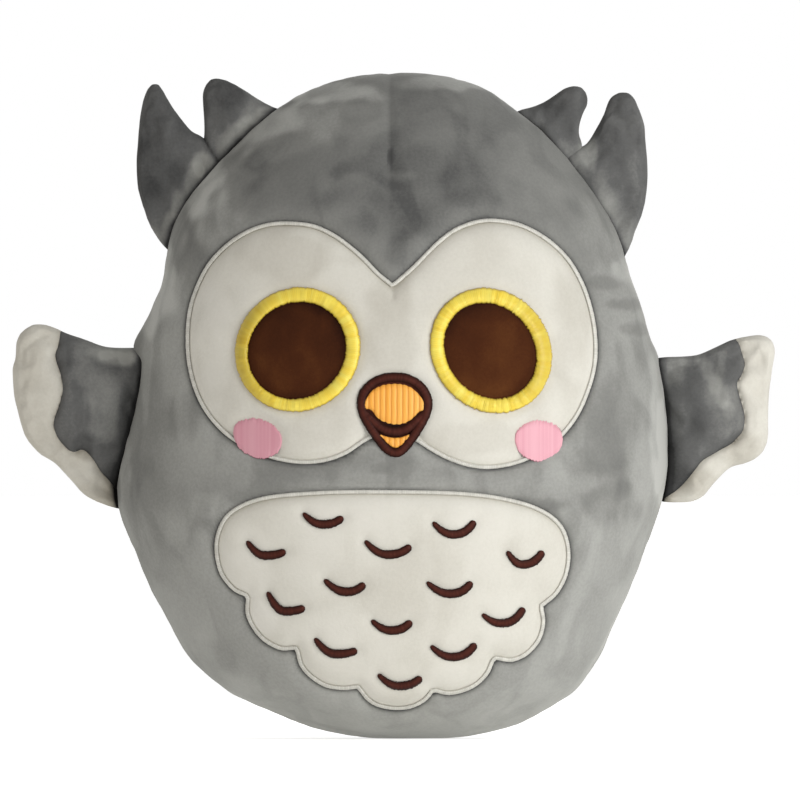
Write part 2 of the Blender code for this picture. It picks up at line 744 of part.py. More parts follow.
def wing(side, label):
    """One wing: a grey panel with a white border sewn to its outer edge."""
    foot = side_point(side, WING_ROOT_FOOT_HEIGHT)
    top = side_point(side, WING_ROOT_TOP_HEIGHT)
    hinge = hinge_empty(label + "_wing_hinge", foot, top)
    bpy.context.view_layer.update()

    def place(shares):
        out, up = shares
        at = foot.lerp(top, up)
        return Vector((at.x + side * WING_REACH * out, at.z))

    rim = smooth_run([place(shares) for shares in WING_RIM_SHARES], LIMB_CURVE_STEPS)
    inward = Vector((-side * OVERRUN, 0))
    root = [rim[-1] + inward, rim[0] + inward]
    seam = smooth_run([place(shares) for shares in WING_SEAM_SHARES], LIMB_CURVE_STEPS)
    cutters = swing_cutters(hinge, WING_SWING)
    ends = [place((-1.0, WING_SEAM_SHARES[-1][1])), place((-1.0, WING_SEAM_SHARES[0][1]))]
    deep = WING_HALF_THICKNESS + OVERRUN
    for node, gap, operation, colour in (
            ("_wing_panel", 0.0, "INTERSECT", DARK_PLUSH),
            ("_wing_border", GAP, "DIFFERENCE", WHITE_PLUSH)):
        name = label + node
        mesh = stuffed_limb(name, rim, root, seam, WING_CELL, WING_HALF_THICKNESS,
                            WING_RIM_HALF_THICKNESS)
        piece = limb_piece(name, mesh, hinge, cutters, colour)
        region = outline_prism(name + "_side", [offset_loop(seam + ends, gap)], deep, deep)
        combine(piece, add_cutter(name + "_side", region), operation)


def ear(side, label):
    """One ear: an outer and an inner tuft in one seam, with a crease between them."""
    inner_foot = side_point(side, BODY_HEIGHT - EAR_INNER_FOOT_DROP)
    outer_foot = side_point(side, BODY_HEIGHT - EAR_OUTER_FOOT_DROP)
    hinge = hinge_empty(label + "_ear_hinge", outer_foot, inner_foot)
    bpy.context.view_layer.update()
    seam = outer_foot - inner_foot
    out = Vector((-seam.z, 0, seam.x)).normalized() * side

    def place(shares, shift=0.0):
        along, height = shares
        at = inner_foot + seam * along + out * EAR_REACH * height + seam.normalized() * shift
        return Vector((at.x, at.z))

    cutters = swing_cutters(hinge, EAR_SWING)
    sunk = Vector((out.x, out.z)) * -OVERRUN
    for node, shares, shift in (("_ear_outer_tuft", OUTER_TUFT_SHARES, GAP / 2),
                                ("_ear_inner_tuft", INNER_TUFT_SHARES, -GAP / 2)):
        rim = smooth_run([place(share, shift) for share in shares], LIMB_CURVE_STEPS)
        crease = [place(CREASE_FOOT_SHARES, shift)]
        rim = rim + crease if shares is OUTER_TUFT_SHARES else crease + rim
        root = [rim[-1] + sunk, rim[0] + sunk]
        mesh = stuffed_limb(label + node, rim, root, [], EAR_CELL, EAR_HALF_THICKNESS,
                            EAR_RIM_HALF_THICKNESS)
        limb_piece(label + node, mesh, hinge, cutters, DARK_PLUSH)


def body():
    """The filling and the three panels of the cover, with the dart in the front one."""
    front = cover_panel("body_front_panel", [(1, -1)])
    cover_panel("body_back_left_panel", [(1, 1), (0, 1)])
    cover_panel("body_back_right_panel", [(1, 1), (0, -1)])
    combine(front, dart_cutter(), "DIFFERENCE")
    inset = COVER_THICKNESS + FILLING_GAP
    filling = add_object("body_filling", form_mesh("body_filling", -inset, FILLING_HALF_CELLS), PARTS)
    filling.parent = STAND
    finish(filling, FILLING)


def owl():
    """Build every piece."""
    body()
    patch_with_border("face", face_loop())
    patch_with_border("belly", belly_loop())
    eyes()
    bed = face_bed()
    cheeks(bed)
    beak(bed)
    feather_marks()
    for side, label in ((1, "left"), (-1, "right")):
        wing(side, label)
        ear(side, label)


clear_scene()
PARTS = new_collection("plush_owl")
CUTTERS = new_collection("cutters")
STAND = bpy.data.objects.new("owl_on_its_seat", None)
PARTS.objects.link(STAND)
owl()
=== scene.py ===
"""Looks of a stuffed plush owl: brushed velboa cover, satin stitch, padded patches and soft limbs.

The owl looks towards -Y and stands at Z = 0. Left and right are the owl's own, so its left is
at +X. Flat outlines are drawn in X and Z, in metres, or in pixels of the 800 by 800 photograph.
"""

import logging
import math
from dataclasses import dataclass, field
from enum import Enum
from typing import Callable, Sequence

import bmesh
import bpy
import numpy as np
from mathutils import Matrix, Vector, noise


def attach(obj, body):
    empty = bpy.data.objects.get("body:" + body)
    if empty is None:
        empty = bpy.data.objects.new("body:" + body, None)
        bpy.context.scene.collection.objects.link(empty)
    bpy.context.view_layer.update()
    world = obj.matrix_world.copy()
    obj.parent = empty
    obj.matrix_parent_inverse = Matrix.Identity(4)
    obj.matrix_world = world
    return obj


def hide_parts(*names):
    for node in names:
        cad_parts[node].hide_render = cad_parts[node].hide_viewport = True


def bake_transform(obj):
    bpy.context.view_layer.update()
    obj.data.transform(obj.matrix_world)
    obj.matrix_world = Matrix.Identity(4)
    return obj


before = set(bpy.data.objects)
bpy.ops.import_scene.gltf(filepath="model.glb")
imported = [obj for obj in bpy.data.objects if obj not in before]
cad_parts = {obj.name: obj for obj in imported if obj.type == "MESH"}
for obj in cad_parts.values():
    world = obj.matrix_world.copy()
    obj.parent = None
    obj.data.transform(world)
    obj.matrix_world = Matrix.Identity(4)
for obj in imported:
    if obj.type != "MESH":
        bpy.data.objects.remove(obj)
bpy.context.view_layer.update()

LOG = logging.getLogger("plush_owl")
MM = 0.001
PIXEL = 0.45045 * MM
MIDDLE_PIXEL = 391.5
FLOOR_PIXEL = 738.0
SEED = 7

Tree, Socket, Material = bpy.types.NodeTree, bpy.types.NodeSocket, bpy.types.Material
Piece, Mesh, Form = bpy.types.Object, bpy.types.Mesh, bmesh.types.BMesh
Array = np.ndarray
Place = Callable[[Array, Array], Array]
Ground = Callable[[Array], Array]
LightAndPileMark = tuple[float, float, float, float, float]
FlatPoint = tuple[float, float]
Pixels = Sequence[FlatPoint]
Curve = Sequence[tuple[float, float]]
Dip = tuple[float, float]  # how deep it is, and how far it reaches
Layers = Sequence[tuple[float, float, float]]  # of lumps: grain in mm, seed, height in mm


def linear(colour: str) -> tuple[float, float, float, float]:
    """Turn an sRGB hex colour into linear red, green, blue and alpha.

    Args:
        colour: A colour such as "#8a8a88".

    Returns:
        The four linear channels.
    """
    channels = [int(colour[i:i + 2], 16) / 255 for i in (1, 3, 5)]
    curved = [c / 12.92 if c <= 0.04045 else ((c + 0.055) / 1.055) ** 2.4 for c in channels]
    return (*curved, 1.0)


def add_node(tree: Tree, kind: str, settings: dict | None = None,
             links: dict | None = None) -> bpy.types.Node:
    """Add a shader node with its settings and links.

    Args:
        tree: The node tree.
        kind: The node's type name, without ShaderNode before it.
        settings: First values by the name of a property, then by the name or number of an input.
        links: Sockets to link from, by the name or number of an input.

    Returns:
        The new node.
    """
    node = tree.nodes.new("ShaderNode" + kind)
    set_up(node, settings or {}, links or {})
    return node


def set_up(node: bpy.types.Node, settings: dict, links: dict) -> None:
    """Give a shader node its settings and links, as add_node takes them.

    Args:
        node: The node.
        settings: Its settings.
        links: Its links.
    """
    for key, value in settings.items():
        if isinstance(key, int) or key in node.inputs:
            node.inputs[key].default_value = value
        else:
            setattr(node, key, value)
    for key, socket in links.items():
        node.id_data.links.new(socket, node.inputs[key])


def add_noise(tree: Tree, place: Socket, grain: float, **settings: float) -> Socket:
    """Add a noise pattern.

    Args:
        tree: The node tree.
        place: The coordinates that it reads.
        grain: The size of its patches, in the unit of the coordinates.
        settings: Its detail, roughness and distortion.

    Returns:
        Its value, about 0 to 1.
    """
    named = {key.capitalize(): value for key, value in settings.items()}
    return add_node(tree, "TexNoise", {"Scale": 1 / grain, **named},
                    {"Vector": place}).outputs["Fac"]


def add_math(tree: Tree, operation: str, *values: float | Socket) -> Socket:
    """Add a calculation.

    Args:
        tree: The node tree.
        operation: What it does with its values.
        values: One to three of them, each a number or a socket.

    Returns:
        The result.
    """
    fixed = {i: value for i, value in enumerate(values) if isinstance(value, float)}
    wired = {i: value for i, value in enumerate(values) if not isinstance(value, float)}
    return add_node(tree, "Math", {"operation": operation, **fixed}, wired).outputs["Value"]


def add_range(tree: Tree, value: Socket, known: tuple[float, float] = (0.0, 1.0),
              wanted: tuple[float, float] = (0.0, 1.0), kind: str = "LINEAR") -> Socket:
    """Bring a value from one range into another.

    Args:
        tree: The node tree.
        value: The value.
        known: The range that it is read in.
        wanted: The range that comes out.
        kind: "LINEAR" or "SMOOTHSTEP".

    Returns:
        The value there.
    """
    return add_node(tree, "MapRange", {
        "interpolation_type": kind, "From Min": known[0], "From Max": known[1],
        "To Min": wanted[0], "To Max": wanted[1]}, {"Value": value}).outputs["Result"]


def add_bump(tree: Tree, height: Socket, strength: float, distance: float) -> Socket:
    """Add a bump of so many metres, at a strength up to 1, and return its normal."""
    return add_node(tree, "Bump", {"Strength": strength, "Distance": distance},
                    {"Height": height}).outputs["Normal"]


def add_mix(tree: Tree, share: Socket, *ends: str | Socket) -> Socket:
    """Mix two colours.

    Args:
        tree: The node tree.
        share: 0 for the first and 1 for the second.
        ends: Each a hex colour or a socket.

    Returns:
        The mixed colour.
    """
    fixed = {6 + i: linear(end) for i, end in enumerate(ends) if isinstance(end, str)}
    wired = {6 + i: end for i, end in enumerate(ends) if not isinstance(end, str)}
    return add_node(tree, "Mix", {"data_type": "RGBA", **fixed},
                    {0: share, **wired}).outputs[2]


def new_material(name: str) -> tuple[Material, bpy.types.Node, Tree]:
    """Make a node material.

    Args:
        name: The material's name.

    Returns:
        The material, its Principled shader and its node tree.
    """
    material = bpy.data.materials.new(name)
    material.use_nodes = True
    tree = material.node_tree
    return material, tree.nodes["Principled BSDF"], tree


@dataclass(frozen=True)
class Velboa:
    """Velboa: knitted polyester with a short cut pile in lighter and darker marks of brushing.

    The pile scatters light softly and glows at its edges, and a hand leaves marks where it
    lies over. The tone attribute of a mesh holds how light or dark the pile lies, together
    with painted light and shade, from 1 to 0, and below 0 how deep it sits in the painted
    shade of a crease.
    """

    name: str
    dark: str
    middle: str
    light: str
    cloud_mm: float = 46.0
    cloud_share: float = 0.13
    stroke_mm: float = 22.0
    stroke_share: float = 0.12
    stroke_lean: float = 0.45
    stroke_squeeze: float = 0.42
    fibre_mm: float = 1.4
    fibre_share: float = 0.07
    nap_mm: float = 0.25
    sheen: float = 0.45
    # The colour of painted shade deep in a crease.
    crease: str = "#0a0908"

    def material(self) -> Material:
        """Build the material.

        Returns:
            The material.
        """
        material, shader, tree = new_material(self.name)
        place = add_node(tree, "TexCoord").outputs["Object"]
        clouds = add_noise(tree, place, self.cloud_mm * MM, detail=1.5, roughness=0.45,
                           distortion=0.5)
        lying = add_node(tree, "Mapping", {
            "Rotation": (0.0, self.stroke_lean, 0.0), "Scale": (1.0, 1.0, self.stroke_squeeze),
        }, {"Vector": place})
        strokes = add_noise(tree, lying.outputs["Vector"], self.stroke_mm * MM, detail=2.0,
                            roughness=0.45, distortion=0.9)
        fibres = add_noise(tree, place, self.fibre_mm * MM, detail=2.0, roughness=0.7)
        level = add_node(tree, "Attribute", {"attribute_name": "tone"}).outputs["Fac"]
        for pattern, low, high, share in ((clouds, 0.35, 0.65, self.cloud_share),
                                          (strokes, 0.44, 0.64, self.stroke_share),
                                          (fibres, 0.30, 0.70, self.fibre_share)):
            part = add_range(tree, pattern, (low, high), (share / 2, -share / 2), "SMOOTHSTEP")
            level = add_math(tree, "ADD", level, part)
        ramp = add_node(tree, "ValToRGB", {}, {"Fac": level})
        ramp.color_ramp.elements[0].color = linear(self.dark)
        ramp.color_ramp.elements[1].color = linear(self.light)
        ramp.color_ramp.elements.new(0.5).color = linear(self.middle)
        # Below a tone of 0 the colour runs towards the crease colour: painted shade in creases.
        lit = add_range(tree, level, (-1.0, 0.0))
        set_up(shader, {
            "Roughness": 0.95, "IOR": 1.45, "Specular IOR Level": 0.15,
            "Sheen Weight": self.sheen, "Sheen Roughness": 0.35,
            "Sheen Tint": linear(self.light),
        }, {"Base Color": add_mix(tree, lit, self.crease, ramp.outputs["Color"]),
            "Normal": add_bump(tree, fibres, 0.5, self.nap_mm * MM)})
        return material


@dataclass(frozen=True)
class SatinThread:
    """Glossy polyester embroidery thread, laid side by side in satin stitch.

    The stitches are ridges of the mesh. U counts them along the run and V goes across it, so
    the colour varies from stitch to stitch, and painted shade darkens it where they sink into
    the cloth and in the partings between them. The shade attribute of a mesh holds painted
    shade where its threads lean away from the light.
    """

    name: str
    base: str
    bright: str
    # The colour of painted shade, on the flanks and in the partings of the stitches.
    deep: str
    variety: float = 0.3
    parting: float = 0.25
    edge: float = 0.16
    drift_stitches: float = 1 / 0.15
    twists: float = 1.3
    ply_mm: float = 0.12
    roughness: float = 0.45
    gloss: float = 0.35
    sheen: float = 0.1

    def material(self) -> Material:
        """Build the material.

        Returns:
            The material.
        """
        material, shader, tree = new_material(self.name)
        laid = add_node(tree, "UVMap", {"uv_map": "UVMap"}).outputs["UV"]
        parts = add_node(tree, "SeparateXYZ", {}, {"Vector": laid})
        stitch = add_node(tree, "TexWhiteNoise", {"noise_dimensions": "1D"},
                          {"W": add_math(tree, "FLOOR", parts.outputs["X"])})
        drift = add_noise(tree, laid, self.drift_stitches, detail=2.0)
        mixed = add_math(tree, "MULTIPLY_ADD", stitch.outputs["Value"], self.variety, drift)
        lit = add_range(tree, mixed, (0.3, 0.75 + self.variety))
        colour = add_mix(tree, lit, self.base, self.bright)
        # Painted shade: the shade attribute, and darkening towards the flanks (V) and partings (U)
        # of the stitches.
        thread_shade = add_node(tree, "Attribute", {"attribute_name": "shade"}).outputs["Fac"]
        for axis, reach, most in (("Y", self.edge, 1.0), ("X", 0.22, self.parting)):
            near = add_math(tree, "PINGPONG", parts.outputs[axis], 0.5)
            part = add_range(tree, near, (0.0, reach), (most, 0.0), "SMOOTHSTEP")
            thread_shade = add_math(tree, "MAXIMUM", thread_shade, part)
        twist = add_node(tree, "TexWave", {
            "wave_type": "BANDS", "bands_direction": "DIAGONAL", "Scale": self.twists,
            "Distortion": 0.5}, {"Vector": laid})
        set_up(shader, {
            "Roughness": self.roughness, "IOR": 1.53, "Specular IOR Level": self.gloss,
            "Sheen Weight": self.sheen, "Sheen Roughness": 0.35,
        }, {"Base Color": add_mix(tree, thread_shade, colour, self.deep),
            "Normal": add_bump(tree, twist.outputs["Fac"], 0.2, self.ply_mm * MM)})
        return material


@dataclass(frozen=True)
class FibreFill:
    """Polyester fibrefill: white crimped staple, matt and slightly see-through."""

    name: str = "polyester_fibrefill"
    shaded: str = "#dcdcd8"
    lit: str = "#fafaf8"
    fibre_mm: float = 2.5

    def material(self) -> Material:
        """Build the material.

        Returns:
            The material.
        """
        material, shader, tree = new_material(self.name)
        place = add_node(tree, "TexCoord").outputs["Object"]
        crimp = add_noise(tree, place, self.fibre_mm * MM, detail=4.0, distortion=2.5)
        set_up(shader, {
            "Roughness": 1.0, "Subsurface Weight": 0.2, "Subsurface Radius": (4 * MM,) * 3,
        }, {"Base Color": add_mix(tree, crimp, self.shaded, self.lit),
            "Normal": add_bump(tree, crimp, 0.7, 1.0 * MM)})
        return material


class Finish(Enum):
    """The owl's cloths and threads."""

    GREY = Velboa("grey_velboa", "#555554", "#868682", "#b8b8b3")
    DARK_GREY = Velboa("dark_grey_velboa", "#333333", "#646463", "#9b9b96", cloud_mm=24.0,
                       cloud_share=0.18, stroke_mm=14.0, stroke_share=0.10, sheen=0.3)
    WHITE = Velboa("white_velboa", "#aaa497", "#d8d5cb", "#f0ede6", cloud_share=0.10,
                   stroke_share=0.05, fibre_share=0.05, sheen=0.15)
    BROWN = Velboa("brown_velboa", "#260f07", "#45230f", "#653c1c", cloud_mm=20.0,
                   cloud_share=0.2, stroke_share=0.1, sheen=0.05)
    # Each thread's third colour is its painted shade, for the flanks and partings of its stitches.
    PALE_THREAD = SatinThread("pale_satin_thread", "#c8c6bd", "#e3e1d8", "#9c9a93")
    YELLOW_THREAD = SatinThread("yellow_satin_thread", "#f7d53c", "#fff070", "#a58510",
                                variety=0.15, parting=0.15, edge=0.3, roughness=0.38)
    ORANGE_THREAD = SatinThread("orange_satin_thread", "#f6a536", "#ffc160", "#cf8220",
                                variety=0.15, parting=0.8, edge=0.04)
    BROWN_THREAD = SatinThread("brown_satin_thread", "#461e16", "#5f3026", "#0e0302",
                               parting=0.10, edge=0.62, gloss=0.08, sheen=0.0)
    PINK_THREAD = SatinThread("pink_satin_thread", "#dc97a5", "#ecb6c0", "#8f5562",
                              variety=0.2, parting=0.05, edge=0.03)
    FILL = FibreFill()

    def dress(self, piece: Piece) -> None:
        """Give a piece this finish as its only material.

        Args:
            piece: The piece.
        """
        known = bpy.data.materials.get(self.value.name)
        piece.data.materials.clear()
        piece.data.materials.append(known or self.value.material())


def photo_points(pixels: Pixels) -> Array:
    """Turn pixels of the photograph, right and down, into points in X and Z, in metres."""
    flat = np.array(pixels, float)
    return np.stack([(flat[:, 0] - MIDDLE_PIXEL) * PIXEL, (FLOOR_PIXEL - flat[:, 1]) * PIXEL], 1)


def oval(middle: tuple[float, float], radii: tuple[float, float], count: int,
         tilt: float) -> "Line":
    """Draw an oval given in pixels of the photograph.

    Args:
        middle: Its middle.
        radii: Its half width and half height.
        count: The number of points.
        tilt: Degrees that it is turned clockwise.

    Returns:
        The line.
    """
    turns = np.linspace(0, 2 * math.pi, count, endpoint=False)
    wide, tall = radii[0] * np.cos(turns), -radii[1] * np.sin(turns)
    c, s = math.cos(math.radians(tilt)), math.sin(math.radians(tilt))
    return Line(photo_points(np.stack([middle[0] + c * wide - s * tall,
                                       middle[1] + s * wide + c * tall], 1)))


def unit(vectors: Array) -> Array:
    """Bring vectors to length 1, or leave them at 0 where they have none."""
    return vectors / np.maximum(np.linalg.norm(vectors, axis=1, keepdims=True), 1e-12)


def smooth_between(low: float, high: float, value: Array) -> Array:
    """Rise smoothly from 0 where the value is low to 1 where it is high."""
    part = np.clip((value - low) / (high - low), 0.0, 1.0)
    return part * part * (3 - 2 * part)


def fade(away: Array, reach: float) -> Array:
    """Fall from 1 at no distance to about a third at reach, and on towards 0."""
    return np.exp(-away / reach)


def bell(away: Array, reach: float) -> Array:
    """Fall from 1 at no distance to about a third at reach, level at first."""
    return np.exp(-(away / reach) ** 2)


def lumps(points: Array, grain: float, seed: float) -> Array:
    """Read noise, about -1 to 1, with lumps of size grain; each seed gives another pattern."""
    shift = Vector((seed, seed * 2.3, -seed * 1.7))
    return np.array([noise.noise(Vector(p) / grain + shift) for p in points.tolist()])


def lumpy(points: Array, layers: Layers) -> Array:
    """Add up layers of lumps, each given by its grain in mm, its seed and its height in mm."""
    return sum(lumps(points, grain * MM, seed) * tall * MM for grain, seed, tall in layers)


def light_and_pile_tone(points: Array, marks: Sequence[LightAndPileMark]) -> Array:
    """Find how brushing and painted light and shade change the pile's tone at points in space.

    Args:
        points: Points in metres.
        marks: For each mark its middle in pixels, its half width and half height in pixels,
            and how much lighter it makes the pile.

    Returns:
        The change of tone at each point.
    """
    ragged = lumps(points, 10 * MM, 12.0) * 0.45
    change = np.zeros(len(points))
    for right, down, wide, tall, amount in marks:
        x, z = photo_points([(right, down)])[0]
        away = np.hypot((points[:, 0] - x) / (wide * PIXEL), (points[:, 2] - z) / (tall * PIXEL))
        change += amount * smooth_between(1.25, 0.55, away + ragged)
    return change


class Line:
    """A flat line of points in X and Z, open or closed."""

    def __init__(self, points: Array, closed: bool = True) -> None:
        """Keep the points, in order along the line."""
        self.points = np.asarray(points, float)
        self.closed = closed

    @classmethod
    def smooth(cls, points: Array, closed: bool = True, steps: int = 8) -> "Line":
        """Draw a smooth line through points.

        Args:
            points: The points to pass through.
            closed: Whether the line runs back to its start.
            steps: New points for each given one.

        Returns:
            The line.
        """
        knots = np.asarray(points, float)
        if closed:
            knots = np.vstack([knots[-1:], knots, knots[:2]])
        else:
            knots = np.vstack([2 * knots[:1] - knots[1:2], knots, 2 * knots[-1:] - knots[-2:-1]])
        drawn = []
        for a, b, c, d in zip(knots, knots[1:], knots[2:], knots[3:]):
            t = (np.arange(steps) / steps)[:, None]
            bend = 2 * a - 5 * b + 4 * c - d
            twist = 3 * b - a - 3 * c + d
            drawn.append(b + ((c - a) * t + bend * t * t + twist * t ** 3) / 2)
        if not closed:
            drawn.append(knots[-2:-1])
        return cls(np.vstack(drawn), closed)

    def _spans(self) -> tuple[Array, Array]:
        """Find the straight pieces of the line.

        Returns:
            The start and the vector of each.
        """
        ends = np.roll(self.points, -1, axis=0) if self.closed else self.points[1:]
        starts = self.points if self.closed else self.points[:-1]
        return starts, ends - starts

    def length(self) -> float:
        """The line's length."""
        return float(np.linalg.norm(self._spans()[1], axis=1).sum())

    def at(self, shares: Array) -> Array:
        """Read points along the line.

        Args:
            shares: Places from 0 at its start to 1 at its end.

        Returns:
            A point for each place.
        """
        starts, spans = self._spans()
        ends = np.concatenate([[0.0], np.cumsum(np.linalg.norm(spans, axis=1))])
        loop = np.vstack([starts, starts[-1] + spans[-1]])
        where = np.asarray(shares) * ends[-1]
        return np.stack([np.interp(where, ends, loop[:, i]) for i in (0, 1)], 1)

    def even(self, count: int) -> "Line":
        """The same line with evenly spaced points."""
        shares = np.arange(count) / count if self.closed else np.linspace(0, 1, count)
        return Line(self.at(shares), self.closed)

    def outward(self) -> Array:
        """Find the unit normals at the points, outward on a closed line and to the right on an
        open one.

        Returns:
            A normal for each point.
        """
        if self.closed:
            along = np.roll(self.points, -1, axis=0) - np.roll(self.points, 1, axis=0)
        else:
            along = np.gradient(self.points, axis=0)
        return self._turned(along)

    def _turned(self, along: Array) -> Array:
        """Turn vectors along the line outward, or to the right on an open line.

        Args:
            along: The vectors.

        Returns:
            Unit vectors.
        """
        x, z = self.points.T
        area = np.sum(x * np.roll(z, -1) - np.roll(x, -1) * z) if self.closed else 1.0
        return unit(np.stack([along[:, 1], -along[:, 0]], 1) * np.sign(area))

    def across(self, shares: Array) -> Array:
        """Find unit normals along the line, as outward does.

        Args:
            shares: Places from 0 at its start to 1 at its end.

        Returns:
            A normal for each place.
        """
        step = 1.0 * MM / self.length()
        if self.closed:
            ahead, behind = (shares + step) % 1.0, (shares - step) % 1.0
        else:
            ahead, behind = np.minimum(shares + step, 1), np.maximum(shares - step, 0)
        return self._turned(self.at(ahead) - self.at(behind))

    def offset(self, distance: float) -> "Line":
        """Move the line outward, with its corners kept sharp.

        Args:
            distance: How far, in metres.

        Returns:
            The new line.
        """
        along = unit(np.roll(self.points, -1, axis=0) - self.points)
        turn = (along * np.roll(along, 1, axis=0)).sum(1)
        mitre = 1 / np.sqrt(np.clip((1 + turn) / 2, 0.3, 1.0))
        if not self.closed:
            mitre[[0, -1]] = 1.0
        return Line(self.points + self.outward() * (distance * mitre)[:, None], self.closed)

    def nearest(self, points: Array) -> Array:
        """Find the line's nearest points, on the spans beside its nearest knots.

        Args:
            points: Flat points.

        Returns:
            A point of the line for each.
        """
        starts, spans = self._spans()
        knots = self.points
        found = np.empty_like(points)
        for first in range(0, len(points), 4096):
            part = points[first:first + 4096]
            close = ((knots ** 2).sum(1) - 2 * part @ knots.T).argmin(1)
            least = np.full(len(part), np.inf)
            for shift in (-1, 0):
                span = close + shift
                span = span % len(spans) if self.closed else np.clip(span, 0, len(spans) - 1)
                away = part - starts[span]
                size = np.maximum((spans[span] ** 2).sum(1), 1e-18)
                share = np.clip((away * spans[span]).sum(1) / size, 0, 1)
                gap = away - share[:, None] * spans[span]
                reach = (gap ** 2).sum(1)
                closer = reach < least
                least[closer] = reach[closer]
                found[first:first + 4096][closer] = (part - gap)[closer]
        return found

    def distance(self, points: Array) -> Array:
        """The distances of flat points from the line."""
        return np.linalg.norm(points - self.nearest(points), axis=1)

    def above(self, points: Array) -> Array:
        """How far flat points lie straight above the line, from 0 at its sides to 1."""
        away = points - self.nearest(points)
        return np.maximum(away[:, 1], 0) / np.maximum(np.linalg.norm(away, axis=1), 1e-9)

    def inside(self, points: Array) -> Array:
        """Say which points lie inside the closed line.

        Args:
            points: Flat points.

        Returns:
            True or False for each point.
        """
        crossings = np.zeros(len(points), int)
        for (x, z), (dx, dz) in zip(*self._spans()):
            straddles = (z > points[:, 1]) != (z + dz > points[:, 1])
            if abs(dz) > 0:
                crossings += straddles & (x + (points[:, 1] - z) / dz * dx > points[:, 0])
        return crossings % 2 == 1

    def depth(self, points: Array) -> Array:
        """The distance inside the closed line, negative outside it."""
        return np.where(self.inside(points), 1.0, -1.0) * self.distance(points)


class Table:
    """A smooth curve through pairs of place and value."""

    def __init__(self, pairs: Curve) -> None:
        """Keep the pairs, in rising order of place."""
        self.places, self.values = np.array(pairs, float).T
        self.slopes = np.gradient(self.values, self.places)

    def read(self, at: Array) -> Array:
        """Read the curve.

        Args:
            at: Places within the table.

        Returns:
            The values there.
        """
        low = np.clip(np.searchsorted(self.places, at, side="right") - 1, 0, len(self.places) - 2)
        span = self.places[low + 1] - self.places[low]
        part = (at - self.places[low]) / span
        rise = self.values[low + 1] - self.values[low]
        into, out = self.slopes[low] * span, self.slopes[low + 1] * span
        curve = (into + out - 2 * rise) * part + (3 * rise - 2 * into - out)
        return self.values[low] + into * part + curve * part * part


def form_points(form: Form, key: str = "co") -> Array:
    """Read a bmesh's vertex places, or with "normal" its vertex normals."""
    return np.array([getattr(vertex, key)[:] for vertex in form.verts])


def lay_out(form: Form, points: Array) -> None:
    """Put a bmesh's vertices at points."""
    for vertex, point in zip(form.verts, points.tolist()):
        vertex.co = point


def new_piece(name: str, form: Form) -> Piece:
    """Turn a bmesh into a smooth-shaded object at the origin.

    Args:
        name: The piece's name.
        form: The bmesh, which is freed.

    Returns:
        The piece.
    """
    mesh = bpy.data.meshes.new(name)
    form.to_mesh(mesh)
    form.free()
    mesh.polygons.foreach_set("use_smooth", [True] * len(mesh.polygons))
    piece = bpy.data.objects.new(name, mesh)
    bpy.context.scene.collection.objects.link(piece)
    return piece


def grid_form(across: int, along: int, place: Place, counts: tuple[float, float] = (1.0, 1.0)
              ) -> Form:
    """Lay a grid of faces out in space and weld its seams and poles.

    Args:
        across: Faces in V.
        along: Faces in U.
        place: Gives the points for arrays of U and V from 0 to 1.
        counts: What the UV map reaches in U and V, such as the number of stitches.

    Returns:
        The bmesh.
    """
    form = bmesh.new()
    layer = form.loops.layers.uv.new("UVMap")
    bmesh.ops.create_grid(form, x_segments=along, y_segments=across, size=1.0, calc_uvs=True)
    for face in form.faces:
        for corner in face.loops:
            corner[layer].uv = corner[layer].uv * Vector(counts)
    flat = (form_points(form) + 1) / 2
    lay_out(form, place(flat[:, 0], flat[:, 1]))
    bmesh.ops.remove_doubles(form, verts=form.verts[:], dist=0.001 * MM)
    bmesh.ops.dissolve_degenerate(form, edges=form.edges[:], dist=0.001 * MM)
    bmesh.ops.recalc_face_normals(form, faces=form.faces[:])
    return form


def joined(name: str, forms: Sequence[Form]) -> Piece:
    """Make one piece of several bmeshes.

    Args:
        name: The piece's name.
        forms: The bmeshes, which are freed.

    Returns:
        The piece.
    """
    whole = bmesh.new()
    for form in forms:
        part = bpy.data.meshes.new(name)
        form.to_mesh(part)
        form.free()
        whole.from_mesh(part)
        bpy.data.meshes.remove(part)
    return new_piece(name, whole)


def points_of(mesh: Mesh, key: str = "co") -> Array:
    """Read a mesh's vertex places or vertex normals.

    Args:
        mesh: The mesh.
        key: "co" or "normal".

    Returns:
        A vector for each vertex.
    """
    flat = np.empty(len(mesh.vertices) * 3, np.float32)
    mesh.vertices.foreach_get(key, flat)
    return flat.reshape(-1, 3).astype(float)


def move_points(mesh: Mesh, points: Array) -> None:
    """Set a mesh's vertex places."""
    mesh.vertices.foreach_set("co", points.astype(np.float32).ravel())
    mesh.update()


def set_tone(mesh: Mesh, tone: Array, key: str = "tone") -> None:
    """Store per vertex the tone with painted light and shade, or with "shade" the threads' shade.
    """
    layer = mesh.attributes.new(key, "FLOAT", "POINT")
    layer.data.foreach_set("value", tone.astype(np.float32))


def apply_modifiers(piece: Piece) -> None:
    """Make a piece's modifiers part of its mesh.

    Args:
        piece: The piece.
    """
    depsgraph = bpy.context.evaluated_depsgraph_get()
    solid = bpy.data.meshes.new_from_object(piece.evaluated_get(depsgraph))
    piece.modifiers.clear()
    piece.data = solid
    solid.polygons.foreach_set("use_smooth", [True] * len(solid.polygons))


def seat(piece: Piece, nodes: Sequence[str], finish: Finish,
         body: str = "body") -> None:
    """Finish a piece and put it on its body in place of its CAD nodes.

    Args:
        piece: The piece.
        nodes: The CAD nodes that it stands for.
        finish: Its cloth or thread.
        body: The CAD body that it moves with, or an empty string to leave it unattached.
    """
    finish.dress(piece)
    if body:
        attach(piece, body)
    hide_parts(*nodes)
    LOG.info("%s: %d faces", piece.name, len(piece.data.polygons))


